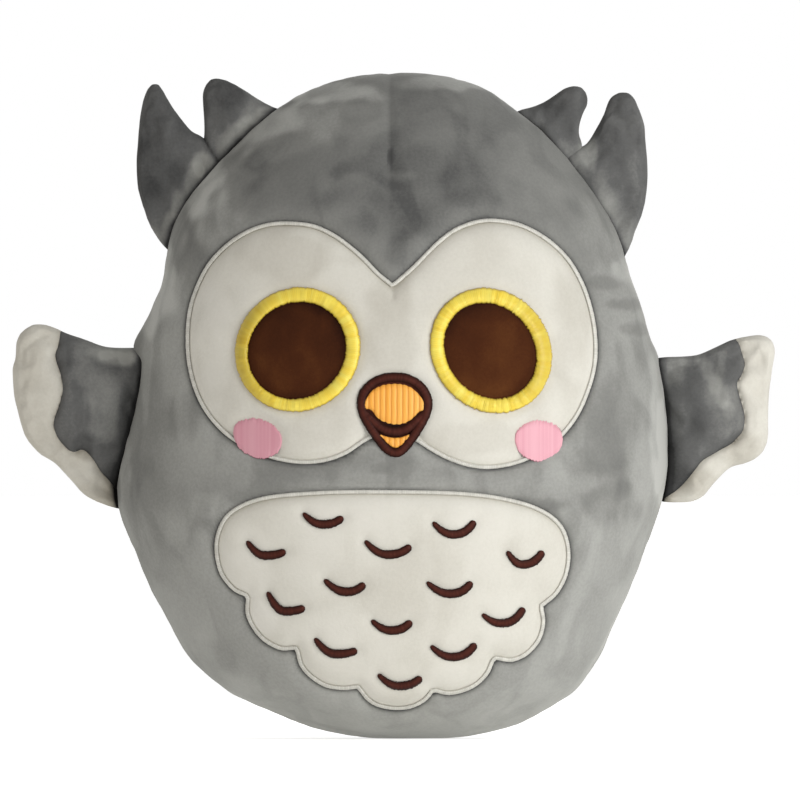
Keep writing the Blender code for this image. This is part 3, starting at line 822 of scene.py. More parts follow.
@dataclass
class BodyForm:
    """The stuffed form of the body, an egg of oval rings, and what seams press into it."""

    height: float = 300.0 * MM
    width: float = 244.0 * MM
    front_depth: float = 86.0 * MM
    back_depth: float = 89.5 * MM
    seat_cut: float = 0.5 * MM
    width_shares: Curve = (
        (-1.00, 1.62), (-0.95, 1.36), (-0.85, 1.22), (-0.70, 1.12), (-0.50, 1.07), (-0.30, 1.04),
        (-0.10, 1.00), (0.10, 0.97), (0.30, 0.952), (0.50, 0.948), (0.75, 0.94), (0.90, 0.96),
        (1.00, 1.00),
    )
    depth_shares: Curve = (
        (-1.00, 2.05), (-0.95, 1.72), (-0.85, 1.46), (-0.70, 1.26), (-0.50, 1.13), (-0.30, 1.06),
        (-0.10, 1.00), (0.10, 0.975), (0.30, 0.96), (0.50, 0.95), (0.75, 0.95), (0.90, 0.97),
        (1.00, 1.02),
    )
    left_lean_shares: Curve = (
        (-1.00, 1.14), (-0.95, 1.13), (-0.88, 1.10), (-0.80, 1.05), (-0.70, 1.005), (-0.45, 0.985),
        (-0.30, 1.006), (-0.20, 1.022), (-0.10, 1.027), (0.0, 1.029), (0.10, 1.025), (0.18, 1.017),
        (0.30, 1.018), (0.38, 1.012), (0.50, 1.025), (0.80, 1.03), (0.92, 1.06), (1.00, 1.22),
    )
    right_lean_shares: Curve = (
        (-1.00, 0.79), (-0.95, 0.84), (-0.88, 0.93), (-0.80, 0.975), (-0.60, 0.98), (-0.45, 0.995),
        (-0.30, 1.02), (-0.21, 1.01), (-0.125, 0.985), (0.0, 0.955), (0.125, 0.955),
        (0.227, 0.985), (0.30, 0.972), (0.38, 0.966), (0.44, 0.986), (0.55, 1.02), (0.80, 0.99),
        (0.92, 0.97), (1.00, 0.88),
    )
    filling_lumps: Layers = ((62, 0.0, 1.3), (24, 5.0, 0.35))

    def __post_init__(self) -> None:
        """Measure the fullest ring, so that the width and the depths are real sizes."""
        self._wide = Table(self.width_shares)
        self._deep = Table(self.depth_shares)
        self._lean = (Table(self.right_lean_shares), Table(self.left_lean_shares))
        shares = np.linspace(-1, 1, 401)
        ring = np.sqrt(1 - shares ** 2)
        self._widest = float((ring * self._wide.read(shares)).max())
        self._deepest = float((ring * self._deep.read(shares)).max())

    def radii(self, share: Array, left: Array) -> tuple[Array, Array, Array]:
        """Find a ring's half width and its half depths in front and behind.

        Args:
            share: Heights from -1 at the foot to 1 at the crown.
            left: True on the owl's left side.

        Returns:
            The three radii.
        """
        ring = np.sqrt(np.maximum(0.0, 1 - share ** 2))
        lean = np.where(left, self._lean[1].read(share), self._lean[0].read(share))
        wide = ring * self._wide.read(share) / self._widest * self.width / 2 * lean
        deep = ring * self._deep.read(share) / self._deepest
        return wide, deep * self.front_depth, deep * self.back_depth

    def surface(self, directions: Array) -> Array:
        """Find the form's points in unit directions from its middle.

        Args:
            directions: Unit vectors.

        Returns:
            The points.
        """
        share = directions[:, 2]
        wide, front, back = self.radii(share, directions[:, 0] > 0)
        flat = unit(directions[:, :2])
        deep = np.where(flat[:, 1] < 0, front, back)
        height = (self.height + self.seat_cut) * (share + 1) / 2 - self.seat_cut
        return np.stack([flat[:, 0] * wide, flat[:, 1] * deep, height], 1)

    def front(self, flat: Array) -> tuple[Array, Array]:
        """Find the form's front points behind flat points, and their normals.

        Args:
            flat: Points in X and Z.

        Returns:
            The points in space and the outward unit normals.
        """
        step = 0.5 * MM
        reads = [self._front_depth(flat + shift) for shift in
                 ((0, 0), (step, 0), (-step, 0), (0, step), (0, -step))]
        slope_x = (reads[1] - reads[2]) / (2 * step)
        slope_z = (reads[3] - reads[4]) / (2 * step)
        normals = unit(np.stack([slope_x, -np.ones(len(flat)), slope_z], 1))
        return np.stack([flat[:, 0], reads[0], flat[:, 1]], 1), normals

    def _front_depth(self, flat: Array) -> Array:
        """Find the front's Y at flat points.

        Args:
            flat: Points in X and Z.

        Returns:
            A Y for each.
        """
        share = np.clip(self._share(flat[:, 1]), -0.999, 0.999)
        wide, front, _ = self.radii(share, flat[:, 0] > 0)
        return -front * np.sqrt(np.maximum(1 - (flat[:, 0] / wide) ** 2, 0.004))

    def _share(self, height: Array) -> Array:
        """Heights as shares from -1 at the foot to 1 at the crown."""
        return 2 * (height + self.seat_cut) / (self.height + self.seat_cut) - 1

    def gap(self, points: Array) -> Array:
        """Measure how far points in space lie outside the form, about.

        Args:
            points: Points in space.

        Returns:
            The distances, 0 inside it.
        """
        share = self._share(points[:, 2])
        wide, front, back = self.radii(np.clip(share, -0.99, 0.99), points[:, 0] > 0)
        deep = np.where(points[:, 1] < 0, front, back)
        out = np.hypot(points[:, 0] / wide, points[:, 1] / deep) - 1
        return np.maximum(out * wide * np.sqrt(1 - share.clip(-0.9, 0.9) ** 2), 0.0)

    def stuffing(self, points: Array) -> Array:
        """How far uneven filling lifts the cover at points in space."""
        return lumpy(points, self.filling_lumps)

    def rise(self, normals: Array) -> Array:
        """Find how points move for each metre of lift: forward on the front, so that seams and
        stitches keep their drawn place, and along the normals elsewhere.

        Args:
            normals: Outward unit normals.

        Returns:
            A vector for each.
        """
        ahead = -normals[:, 1:2]
        forward = np.array([[0.0, -1.0, 0.0]]) / np.maximum(ahead, 0.4)
        share = smooth_between(0.40, 0.65, ahead)
        return forward * share + normals * (1 - share)

    def lay(self, flat: Array, lift: Array) -> Array:
        """Lay flat points on the stuffed front, lifted above the cover."""
        points, normals = self.front(flat)
        return points + self.rise(normals) * (self.stuffing(points) + lift)[:, None]


@dataclass
class SatinRun:
    """A run of satin stitch: threads laid side by side across a line, over a raised roll."""

    form: BodyForm
    line: Line
    half_width: float | Array
    ground: Ground
    rise: float
    roundness: float = 0.75
    pitch: float = 0.8 * MM
    sunk: float = 0.6 * MM
    arch: float = 0.75
    reach_spread: float = 0.045
    crest_spread: float = 0.05
    parting_height: float = 0.80
    parting_reach: float = 0.96
    across: int = 12
    round_ends: float = 0.0
    seed: int = SEED

    def build(self) -> Form:
        """Build the run's ridges.

        Returns:
            The bmesh.
        """
        stitches = max(6, round(self.line.length() / self.pitch))
        self._rows = 2 * stitches
        draw = np.random.default_rng(self.seed)
        self._reach = 1 + draw.normal(0, self.reach_spread, self._rows + 1)
        self._crest = 1 + draw.normal(0, self.crest_spread, self._rows + 1)
        if self.line.closed:
            self._reach[-1], self._crest[-1] = self._reach[0], self._crest[0]
        return grid_form(self.across, self._rows, self._place, (stitches, 1 / self.arch))

    def _place(self, along: Array, around: Array) -> Array:
        """Lay out the ridges: V runs over the roll and back underneath it.

        Args:
            along: U from 0 to 1.
            around: V from 0 to 1.

        Returns:
            A point for each.
        """
        row = np.rint(along * self._rows).astype(int)
        over = np.minimum(around / self.arch, 1.0)
        back = np.maximum(around - self.arch, 0.0) / (1 - self.arch)
        side = np.where(around <= self.arch, -np.cos(math.pi * over), 1 - 2 * back)
        height = np.where(around <= self.arch, np.sin(math.pi * over) ** self.roundness, 0.0)
        ends = np.ones(len(along))
        if not self.line.closed:
            near = np.minimum(along, 1 - along) * self.line.length() / self.round_ends
            ends = np.sqrt(np.clip(1 - (1 - np.minimum(near, 1.0)) ** 2, 0, 1))
        ridge = np.where(row % 2 == 1, 1.0, self.parting_height) * self._crest[row]
        widths = np.ravel(self.half_width)
        if self.line.closed:
            widths = np.append(widths, widths[0])
        reach = np.interp(along, np.linspace(0, 1, len(widths)), widths)
        reach = reach * ends * np.where(row % 2 == 1, 1.0, self.parting_reach)
        reach = reach * self._reach[row]
        flat = self.line.at(along) + self.line.across(along) * (side * reach)[:, None]
        lift = self.ground(flat) - self.sunk * (height <= 0.0)
        return self.form.lay(flat, lift + self.rise * height * ridge * ends)


@dataclass
class SatinFill:
    """A shape filled with upright satin threads, in ribs from one side to the other."""

    form: BodyForm
    outline: Line
    ground: Ground
    rise: float
    pitch: float = 0.9 * MM
    ragged: float = 0.1 * MM
    sunk: float = 1.3 * MM
    groove: float = 0.28
    up: int = 18
    steps: int = 2
    seed: int = SEED

    def build(self) -> Form:
        """Build the ribs.

        Returns:
            The bmesh.
        """
        points = self.outline.even(400).points
        points = np.roll(points, -int(points[:, 0].argmin()), axis=0)
        right = int(points[:, 0].argmax())
        paths = [points[:right + 1], np.vstack([points[right:], points[:1]])[::-1]]
        self._paths = sorted(paths, key=lambda path: path[:, 1].mean())
        self._ends = points[0, 0], points[right, 0]
        ribs = max(4, round((self._ends[1] - self._ends[0]) / self.pitch))
        self._rows = self.steps * ribs
        draw = np.random.default_rng(self.seed)
        self._slip = draw.normal(0, self.ragged, (2, self._rows + 1))
        return grid_form(self.up, self._rows, self._place, (ribs, 2.0))

    def _place(self, along: Array, around: Array) -> Array:
        """Lay out the ribs: V runs up the front and down the back.

        Args:
            along: U from 0 to 1.
            around: V from 0 to 1.

        Returns:
            A point for each.
        """
        row = np.rint(along * self._rows).astype(int)
        x = self._ends[0] + (self._ends[1] - self._ends[0]) * along
        low, high = (np.interp(x, path[:, 0], path[:, 1]) for path in self._paths)
        slip = np.clip(self._slip[:, row], -(high - low) / 5, (high - low) / 5)
        low, high = low + slip[0], high + slip[1]
        front = around < 0.5
        share = np.where(front, 2 * around, 2 - 2 * around)
        flat = np.stack([x, low + (high - low) * share], 1)
        edge = np.clip(1 - np.abs(4 * around - 1) ** 5, 0, 1) ** 0.6
        edge *= np.clip(np.minimum(along, 1 - along) * self._rows / 2, 0, 1) ** 0.5
        ridge = 1 - self.groove + self.groove * np.sin(math.pi * (row % self.steps) / self.steps)
        lift = np.where(front, self.rise * edge * ridge, -self.sunk)
        return self.form.lay(flat, self.ground(flat) + lift)


@dataclass
class Pad:
    """A flat piece of cloth that lies on the body, closed underneath."""

    form: BodyForm
    outline: Line
    centre: tuple[float, float]
    top: Ground
    underside: float
    sides: int = 240
    rings: int = 30
    crowding: float = 1.5

    def build(self) -> Form:
        """Build the pad as rings round its centre."""
        self._middle = photo_points([self.centre])
        return grid_form(2 * self.rings, self.sides, self._place)

    def _place(self, along: Array, around: Array) -> Array:
        """Lay out the rings: V runs out underneath and back in on top.

        Args:
            along: U from 0 to 1.
            around: V from 0 to 1.

        Returns:
            A point for each.
        """
        out = 1 - np.abs(2 * around - 1)
        out = 1 - (1 - out) ** self.crowding
        flat = self._middle + (self.outline.at(along) - self._middle) * out[:, None]
        lift = np.where(around > 0.5, self.top(flat), self.underside)
        return self.form.lay(flat, lift)


@dataclass
class Eye:
    """An eye: a brown cloth disc inside a thick ring of yellow satin stitch."""

    side: str
    middle: tuple[float, float]
    ring_radii: tuple[float, float]
    disc_middle: tuple[float, float]
    disc_radii: tuple[float, float]
    tilt: float
    sign: int
    shade: float
    tone: float
    ring_rise: float = 2.9 * MM
    disc_tuck: float = 1.2 * MM
    disc_lift: float = 0.6 * MM
    disc_dome: float = 1.2 * MM
    disc_underside: float = -0.8 * MM
    upper_shade: float = 0.22
    # Painted shade at the disc's rim.
    rim_shade: float = 0.3

    def __post_init__(self) -> None:
        """Draw the ring's outer and inner edges."""
        self.outline = oval(self.middle, self.ring_radii, 96, self.tilt)
        self.inner = oval(self.disc_middle, self.disc_radii, 96, self.tilt)

    def build(self, form: BodyForm, ground: Ground) -> None:
        """Build the disc and the ring.

        Args:
            form: The body.
            ground: The height of the cloth that they are sewn to.
        """
        rim = self.inner.offset(self.disc_tuck)
        middle = photo_points([self.disc_middle])[0]
        radius = np.linalg.norm(rim.points - middle, axis=1).max()

        def dome(flat: Array) -> Array:
            """Heights of the disc above the cover."""
            out = np.linalg.norm(flat - middle, axis=1) / radius
            return self.disc_lift + self.disc_dome * (1 - np.minimum(out, 1) ** 2)

        disc = new_piece(self.side + "_eye_disc_velboa", Pad(
            form, rim, self.disc_middle, dome, self.disc_underside, sides=96, rings=18).build())
        # Painted shade darkens the disc towards its top and its rim.
        flat = points_of(disc.data)[:, ::2] - middle
        upper = smooth_between(-0.6, 0.9, flat[:, 1] / radius)
        out = np.linalg.norm(flat, axis=1) / radius
        edge = smooth_between(0.7, 1.0, out)
        set_tone(disc.data, self.tone - self.upper_shade * upper - self.rim_shade * edge)
        seat(disc, [self.side + "_eye_disc"], Finish.BROWN)
        between = Line((self.outline.points + self.inner.points) / 2)
        half_width = np.linalg.norm(self.outline.points - self.inner.points, axis=1) / 2
        ring = new_piece(self.side + "_eye_ring_satin", SatinRun(
            form, between, half_width, ground, self.ring_rise, roundness=0.9, across=16,
            seed=SEED + len(self.side)).build())
        # Painted shade on the ring's outer flank, which turns away from the light.
        out = (points_of(ring.data)[:, 0] - middle[0]) / radius * self.sign
        set_tone(ring.data, self.shade * smooth_between(0.2, 1.1, out), "shade")
        seat(ring, [self.side + "_eye_ring"], Finish.YELLOW_THREAD)


@dataclass
class Cheek:
    """A rosy cheek of pink satin stitch with a ragged edge."""

    side: str
    middle: tuple[float, float]
    radii: tuple[float, float]
    tilt: float
    shade: float
    rise: float = 0.8 * MM
    least_ground: float = -0.1 * MM

    def __post_init__(self) -> None:
        """Draw the oval."""
        self.outline = oval(self.middle, self.radii, 64, self.tilt)

    def build(self, form: BodyForm, ground: Ground) -> None:
        """Build the cheek.

        Args:
            form: The body.
            ground: The height of the cloth that it is sewn to.
        """
        fill = SatinFill(form, self.outline,
                         lambda flat: np.maximum(ground(flat), self.least_ground), self.rise,
                         pitch=0.85 * MM, ragged=0.28 * MM, seed=SEED + len(self.side))
        cheek = new_piece(self.side + "_cheek_satin", fill.build())
        # Painted shade over the whole cheek.
        set_tone(cheek.data, np.full(len(cheek.data.vertices), self.shade), "shade")
        seat(cheek, [self.side + "_cheek"], Finish.PINK_THREAD)


@dataclass
class Beak:
    """The beak: orange satin windows in a thick frame of brown satin, split by the mouth."""

    outline_pixels: Pixels = (
        (395, 372.5), (408, 374), (420, 380), (428.5, 389.5), (432.5, 402), (430.5, 415),
        (424.5, 427), (417, 439), (409, 449.5), (402.5, 455.5), (395.5, 457.3), (388.5, 455.5),
        (381, 449.5), (373, 439), (365, 427), (359, 415), (357, 402), (360.5, 389.5), (370, 379.5),
        (382, 374),
    )
    upper_pixels: Pixels = (
        (395, 380), (404, 381.2), (412, 385.3), (418, 391.8), (422.5, 398.5), (425, 406),
        (423.5, 411.5), (420, 412), (416.5, 415.5), (412.5, 420), (407, 424), (400, 426.3),
        (393, 426.3), (385, 424), (379, 420.5), (375, 416), (372.5, 412), (369.5, 410),
        (363.5, 408.5), (365.5, 400.5), (369, 393.3), (374, 387.2), (381, 382.7), (388, 380.7),
    )
    lower_pixels: Pixels = (
        (378.5, 433.7), (386, 435.6), (394, 436.7), (402, 436), (410.5, 433.7), (407.5, 439),
        (403.5, 443.8), (399.5, 447), (394.5, 447.8), (389.5, 445.5), (385, 441), (382, 437.2),
    )
    mouth_pixels: Pixels = (
        (362, 411), (368, 416.5), (375, 423), (384, 429.3), (395, 431.5), (406, 429.3),
        (415, 422.5), (422, 416.5), (428, 411),
    )
    least_ground: float = 0.2 * MM
    frame_half_width: float = 2.2 * MM
    frame_rise: float = 2.1 * MM
    mouth_half_width: float = 2.3 * MM
    mouth_rise: float = 2.0 * MM
    fill_rise: float = 1.5 * MM
    fill_pitch: float = 2.5 * MM

    def __post_init__(self) -> None:
        """Draw the outer edge."""
        self.outline = Line.smooth(photo_points(self.outline_pixels))

    def build(self, form: BodyForm, ground: Ground) -> None:
        """Build the frame, the mouth and the two windows.

        Args:
            form: The body.
            ground: The height of the cloth that they are sewn to.
        """
        def bed(flat: Array) -> Array:
            """Heights of the stitched cloth, which the beak's border bridges."""
            return np.maximum(ground(flat), self.least_ground)

        inner = self.outline.offset(-self.frame_half_width)
        mouth = Line.smooth(photo_points(self.mouth_pixels), closed=False)
        frame_run = SatinRun(form, inner, self.frame_half_width, bed, self.frame_rise,
                             sunk=1.6 * MM)
        mouth_run = SatinRun(form, mouth, self.mouth_half_width, bed, self.mouth_rise,
                             round_ends=2 * MM)
        base = Pad(form, inner, (395, 415), lambda flat: bed(flat) + 0.5 * MM, -1.4 * MM,
                   sides=64, rings=8)
        beak_frame = joined("beak_frame_satin",
                            [frame_run.build(), mouth_run.build(), base.build()])
        seat(beak_frame, ["beak_outline"], Finish.BROWN_THREAD)
        for name, pixels in (("upper", self.upper_pixels), ("lower", self.lower_pixels)):
            fill = SatinFill(form, Line.smooth(photo_points(pixels)), bed, self.fill_rise,
                             pitch=self.fill_pitch, ragged=0.05 * MM, steps=6)
            piece = new_piece(name + "_beak_satin", fill.build())
            seat(piece, [name + "_beak"], Finish.ORANGE_THREAD)


@dataclass
class Patch:
    """A cloth patch on the front: it puffs up inside its border of satin stitch."""

    name: str
    pixels: Pixels
    centre: tuple[float, float]
    border_inset: float = 1.5 * MM
    border_half_width: float = 0.95 * MM
    border_rise: float = 1.4 * MM
    channel: float = 1.6 * MM
    puff: float = 3.3 * MM
    puff_reach: float = 3.0 * MM
    stitch_dip: Dip = (1.3 * MM, 2.6 * MM)
    mark_dip: Dip = (0.8 * MM, 3.4 * MM)
    crease_dip: Dip = (1.3 * MM, 1.2 * MM)
    edge_shade: float = 0.42
    edge_light: float = 0.08
    tone: float = 0.5
    light_and_pile_marks: Sequence[LightAndPileMark] = ()
    stitched: list[Line] = field(default_factory=list)
    pressed: list[Line] = field(default_factory=list)
    creases: list[Line] = field(default_factory=list)

    def __post_init__(self) -> None:
        """Draw the outer edge and the border's middle line."""
        self.outline = Line.smooth(photo_points(self.pixels), steps=6).even(480)
        self.middle = self.outline.offset(-self.border_inset)

    def ground(self, flat: Array) -> Array:
        """Read the cloth's height above the cover.

        Args:
            flat: Points in X and Z.

        Returns:
            The heights, lowest where stitches hold the cloth down.
        """
        free = np.maximum(self.middle.depth(flat) - self.border_half_width * 0.8, 0.0)
        lift = self.puff * (1 - fade(free, self.puff_reach)) - self.channel
        held = np.full(len(flat), np.inf)
        for line in self.stitched:
            held = np.minimum(held, np.maximum(-line.depth(flat), 0.0))
        lift -= self.stitch_dip[0] * fade(held, self.stitch_dip[1])
        for line in self.pressed:
            lift -= self.mark_dip[0] * bell(line.distance(flat), self.mark_dip[1])
        for line in self.creases:
            lift -= self.crease_dip[0] * fade(line.distance(flat), self.crease_dip[1])
        return np.maximum(lift, -self.channel)

    def build(self, form: BodyForm) -> None:
        """Build the cloth and its border.

        Args:
            form: The body.
        """
        cloth = new_piece(self.name + "_patch_velboa", Pad(
            form, self.middle.offset(-self.border_half_width * 0.5), self.centre,
            self.ground, -self.channel - 0.2 * MM, sides=440, rings=64,
            crowding=1.25).build())
        points = points_of(cloth.data)
        flat = points[:, ::2]
        # Painted shade on the cloth just under the top of its border, and a slight painted
        # highlight along the rest of its edge.
        in_from = np.maximum(self.middle.depth(flat) - self.border_half_width, 0.0)
        hang = self.middle.above(2 * self.middle.nearest(flat) - flat)
        dark = (self.edge_shade * hang - self.edge_light) * fade(in_from, 1.0 * MM)
        set_tone(cloth.data, self.tone + light_and_pile_tone(points, self.light_and_pile_marks) - dark)
        seat(cloth, [self.name + "_patch"], Finish.WHITE)
        border = new_piece(self.name + "_border_satin", SatinRun(
            form, self.middle, self.border_half_width,
            lambda flat: np.full(len(flat), -self.channel), self.border_rise).build())
        seat(border, [self.name + "_border"], Finish.PALE_THREAD)


@dataclass
class FeatherMarks:
    """Thirteen smiling strokes of brown satin stitch on the belly."""

    pixels: Sequence[Pixels] = (
        ((303, 512), (322.5, 526), (344, 516)), ((432, 521), (452, 536), (475, 520)),
        ((247, 540), (265, 557), (287, 550)), ((364.5, 539.5), (387, 556), (411.5, 544.5)),
        ((506, 550), (521, 566), (543, 550)), ((324, 578), (346, 593), (365.5, 582)),
        ((426, 580.5), (449, 595), (472, 580.5)), ((267.5, 590.5), (285, 612.5), (306, 606)),
        ((371, 618.5), (390.5, 631.5), (412, 619.5)), ((481, 612.5), (500, 624.5), (524, 606.5)),
        ((314.5, 636.5), (335.5, 655), (358, 648.5)), ((430, 644), (451, 658), (476, 642)),
        ((377.5, 672.5), (398, 687), (422, 675.5)),
    )
    end_inset: float = 0.5
    low_inset: float = 2.5
    steepness: tuple[float, float] = (1.9, 2.7)
    knots: int = 6
    end_round: float = 1.9 * MM
    half_widths: Sequence[float] = (1.1 * MM, 1.7 * MM, 2.1 * MM, 2.05 * MM, 1.75 * MM)
    rise: float = 1.5 * MM

    def lines(self) -> list[Line]:
        """Draw the middle line of each stroke, level at its lowest point.

        Returns:
            The thirteen lines.
        """
        shares = np.linspace(0, 1, self.knots)
        fall, hook = (1 - (1 - shares) ** power for power in self.steepness)
        drawn = []
        for (x1, y1), (x2, y2), (x3, y3) in self.pixels:
            x1, x3, low = x1 + self.end_inset, x3 - self.end_inset, y2 - self.low_inset
            across = np.concatenate([np.linspace(x1, x2, self.knots),
                                     np.linspace(x2, x3, self.knots)[1:]])
            down = np.concatenate([y1 + (low - y1) * fall, y3 + (low - y3) * hook[-2::-1]])
            drawn.append(Line(photo_points(np.stack([across, down], 1)), closed=False))
        return drawn

    def build(self, form: BodyForm, ground: Ground) -> None:
        """Build the strokes.

        Args:
            form: The body.
            ground: The height of the cloth that they are sewn to.
        """
        for number, line in enumerate(self.lines(), start=1):
            run = SatinRun(form, line, np.array(self.half_widths), ground, self.rise,
                           round_ends=self.end_round, seed=SEED + number)
            mark = new_piece(f"feather_mark_{number:02d}_satin", run.build())
            seat(mark, [f"feather_mark_{number:02d}"], Finish.BROWN_THREAD)


@dataclass
class Cover:
    """The body's cover: a front panel and two back panels of grey velboa over the filling."""

    form: BodyForm
    channels: Sequence[Line]
    channel_dip: Dip = (1.7 * MM, 1.7 * MM)
    channel_half_width: float = 0.8 * MM
    patch_sink: float = 0.3 * MM
    swell: Dip = (0.7 * MM, 5 * MM)
    swell_away: float = 8 * MM
    gather_reach: float = 8.0 * MM
    cells: int = 120
    thickness: float = 1.8 * MM
    seam_dip: Dip = (1.5 * MM, 2.4 * MM)
    pucker_lumps: Layers = ((5.5, 3.0, 0.45), (13, 8.0, 0.5))
    pucker_reach: float = 9 * MM
    dart_x: float = -1.0 * MM
    dart_foot: float = 252.0 * MM
    dart_dip: Dip = (0.9 * MM, 2.2 * MM)
    dimple_dip: Dip = (1.5 * MM, 4.2 * MM)
    hollow_dip: Dip = (1.2 * MM, 15 * MM)
    filling_cells: int = 40
    filling_inset: float = 6.5 * MM
    filling_lumps: Layers = ((11, 2.0, 1.2),)
    filling_foot: float = 3.0 * MM
    # Painted light and shade by height: darker on the head, lighter low down.
    tone_shares: Curve = (
        (-1.0, 0.79), (-0.7, 0.72), (-0.3, 0.62), (0.0, 0.56), (0.3, 0.50), (0.5, 0.36),
        (0.75, 0.27), (1.0, 0.38),
    )
    # Painted light towards the owl's left, where the key lamp stands, and painted shade to its
    # right.
    left_light: float = 0.04
    dart_tone: float = 0.13
    # Painted shade in the seams: how dark, and how far it reaches.
    seam_shade: Dip = (0.30, 1.6 * MM)
    webs: Sequence[tuple[int, float, float]] = ((-1, 348, 4.6 * MM), (1, 357, 1.4 * MM))
    # Marks of brushing and of painted light and shade: a painted sheen along the top of the crown
    # and down the owl's left side, painted light beside the ear roots, painted shadow by the wing
    # roots.
    light_and_pile_marks: Sequence[LightAndPileMark] = (
        (392, 190, 75, 60, -0.08), (338, 120, 52, 24, 0.15), (226, 182, 26, 46, 0.12),
        (391, 159, 3, 9, -0.35), (401, 176, 15, 5, 0.14), (396, 187, 10, 4, -0.10),
        (200, 185, 26, 34, 0.16), (262, 122, 34, 18, 0.20), (330, 92, 56, 12, 0.42),
        (164, 285, 14, 40, 0.34), (192, 192, 18, 36, 0.26), (208, 168, 18, 26, 0.26),
        (240, 135, 34, 26, 0.16), (272, 118, 30, 20, 0.14), (456, 82, 70, 9, 0.32),
        (218, 190, 36, 62, 0.14), (288, 128, 62, 30, 0.16), (117, 486, 4, 20, -0.30),
        (150, 318, 10, 22, 0.25), (210, 222, 22, 26, 0.16), (178, 235, 12, 26, 0.14),
        (622, 272, 14, 16, 0.20), (664, 455, 8, 60, 0.35), (395, 218, 40, 34, -0.10),
        (490, 150, 24, 24, -0.07), (425, 165, 20, 26, -0.06), (618, 430, 22, 56, -0.12),
        (385, 462, 42, 11, -0.16), (136, 425, 7, 80, -0.15), (205, 455, 60, 34, 0.08),
        (165, 558, 32, 32, -0.08), (215, 662, 26, 26, -0.10), (398, 250, 14, 20, -0.16),
        (360, 195, 34, 26, -0.08), (470, 200, 30, 12, -0.08), (430, 110, 28, 26, -0.08),
        (365, 705, 26, 16, -0.10), (215, 505, 26, 14, 0.12), (395, 476, 90, 10, -0.10),
        (535, 504, 32, 8, -0.18), (600, 480, 40, 22, -0.10), (535, 160, 50, 46, 0.15),
        (600, 235, 30, 40, 0.08), (628, 300, 34, 52, 0.10), (607, 283, 22, 7, -0.16),
        (627, 305, 24, 6, -0.18), (636, 329, 18, 7, -0.16), (657, 420, 9, 82, 0.25),
        (613, 503, 30, 24, -0.22), (590, 462, 34, 14, -0.08), (590, 610, 46, 70, 0.06),
        (150, 505, 20, 90, -0.07), (178, 330, 36, 70, 0.10), (190, 600, 52, 80, 0.05),
        (455, 695, 130, 34, 0.04),
    )

    def build(self) -> None:
        """Build the filling and the three panels."""
        ball = self._ball(self.cells)
        self._relieve(ball)
        panels = (("front_panel", lambda p: p.y < 0),
                  ("back_left_panel", lambda p: p.y > 0 and p.x > 0),
                  ("back_right_panel", lambda p: p.y > 0 and p.x < 0))
        for name, belongs in panels:
            panel = ball.copy()
            apart = [f for f in panel.faces if not belongs(f.calc_center_median())]
            bmesh.ops.delete(panel, geom=apart, context="FACES")
            piece = new_piece(f"body_{name}_velboa", panel)
            self._tone(piece.data)
            wall = piece.modifiers.new("cloth", "SOLIDIFY")
            wall.thickness = self.thickness
            wall.offset = -1.0
            seat(piece, ["body_" + name], Finish.GREY)
        ball.free()
        self._fill()

    def _ball(self, cells: int) -> Form:
        """Make the body's form from a cube.

        Args:
            cells: The number of cells along an edge.

        Returns:
            The bmesh.
        """
        ball = bmesh.new()
        bmesh.ops.create_cube(ball, size=2.0)
        bmesh.ops.subdivide_edges(ball, edges=ball.edges[:], cuts=cells - 1, use_grid_fill=True)
        directions = np.tan(form_points(ball) * math.pi / 4)
        lay_out(ball, self.form.surface(unit(directions)))
        ball.normal_update()
        return ball

    def _relieve(self, ball: Form) -> None:
        """Lift and sink the cover's vertices by filling, seams, channels and the dart.

        Args:
            ball: The body's form.
        """
        points, normals = form_points(ball), form_points(ball, "normal")
        self._gather(points, normals)
        lift = self.form.stuffing(points)
        x, y, z = points.T
        front = np.flatnonzero(y < -10 * MM)
        flat = points[front, ::2]
        for line in self.channels:
            inside = line.depth(flat)
            away = np.maximum(-inside - self.channel_half_width, 0.0)
            sink = np.where(inside > 0, self.patch_sink, 0.0)
            sink = sink + self.channel_dip[0] * fade(away, self.channel_dip[1])
            swell = self.swell[0] * bell(away - self.swell_away, self.swell[1])
            lift[front] += swell * (inside < 0) - sink
        pucker = lumpy(points, self.pucker_lumps)
        for gap in self._seam_gaps(x, y):
            lift -= self.seam_dip[0] * fade(gap, self.seam_dip[1])
            lift += pucker * fade(gap, self.pucker_reach)
        lift -= self._dart(x, y, z)
        for side, row, most in self.webs:
            up = z - photo_points([(0, row)])[0, 1]
            web = np.exp(-(y / (9 * MM)) ** 2 - (up / np.where(up > 0, 8 * MM, 4 * MM)) ** 2)
            lift += most * web * (x * side > 0)
        moved = points + self.form.rise(normals) * lift[:, None]
        moved[:, 2] = np.maximum(moved[:, 2], 0.0)
        lay_out(ball, moved)

    @staticmethod
    def _seam_gaps(x: Array, y: Array) -> tuple[Array, Array]:
        """The distances from the side seams and, behind, from the back seam."""
        return np.abs(y), np.where(y > 0, np.abs(x), 1.0)

    def _gather(self, points: Array, normals: Array) -> None:
        """Draw the front's vertices towards the channels, so that they come out crisp.

        Args:
            points: The vertices, which are moved.
            normals: Their normals, which are turned.
        """
        near = np.flatnonzero(points[:, 1] < -10 * MM)
        for line in self.channels:
            flat = points[near, ::2]
            hold = line.nearest(flat)
            share = np.linalg.norm(flat - hold, axis=1) / self.gather_reach
            drawn = (share < 1) & (share > 0)
            new = hold[drawn] + (flat - hold)[drawn] * np.sqrt(share[drawn])[:, None]
            points[near[drawn]], normals[near[drawn]] = self.form.front(new)

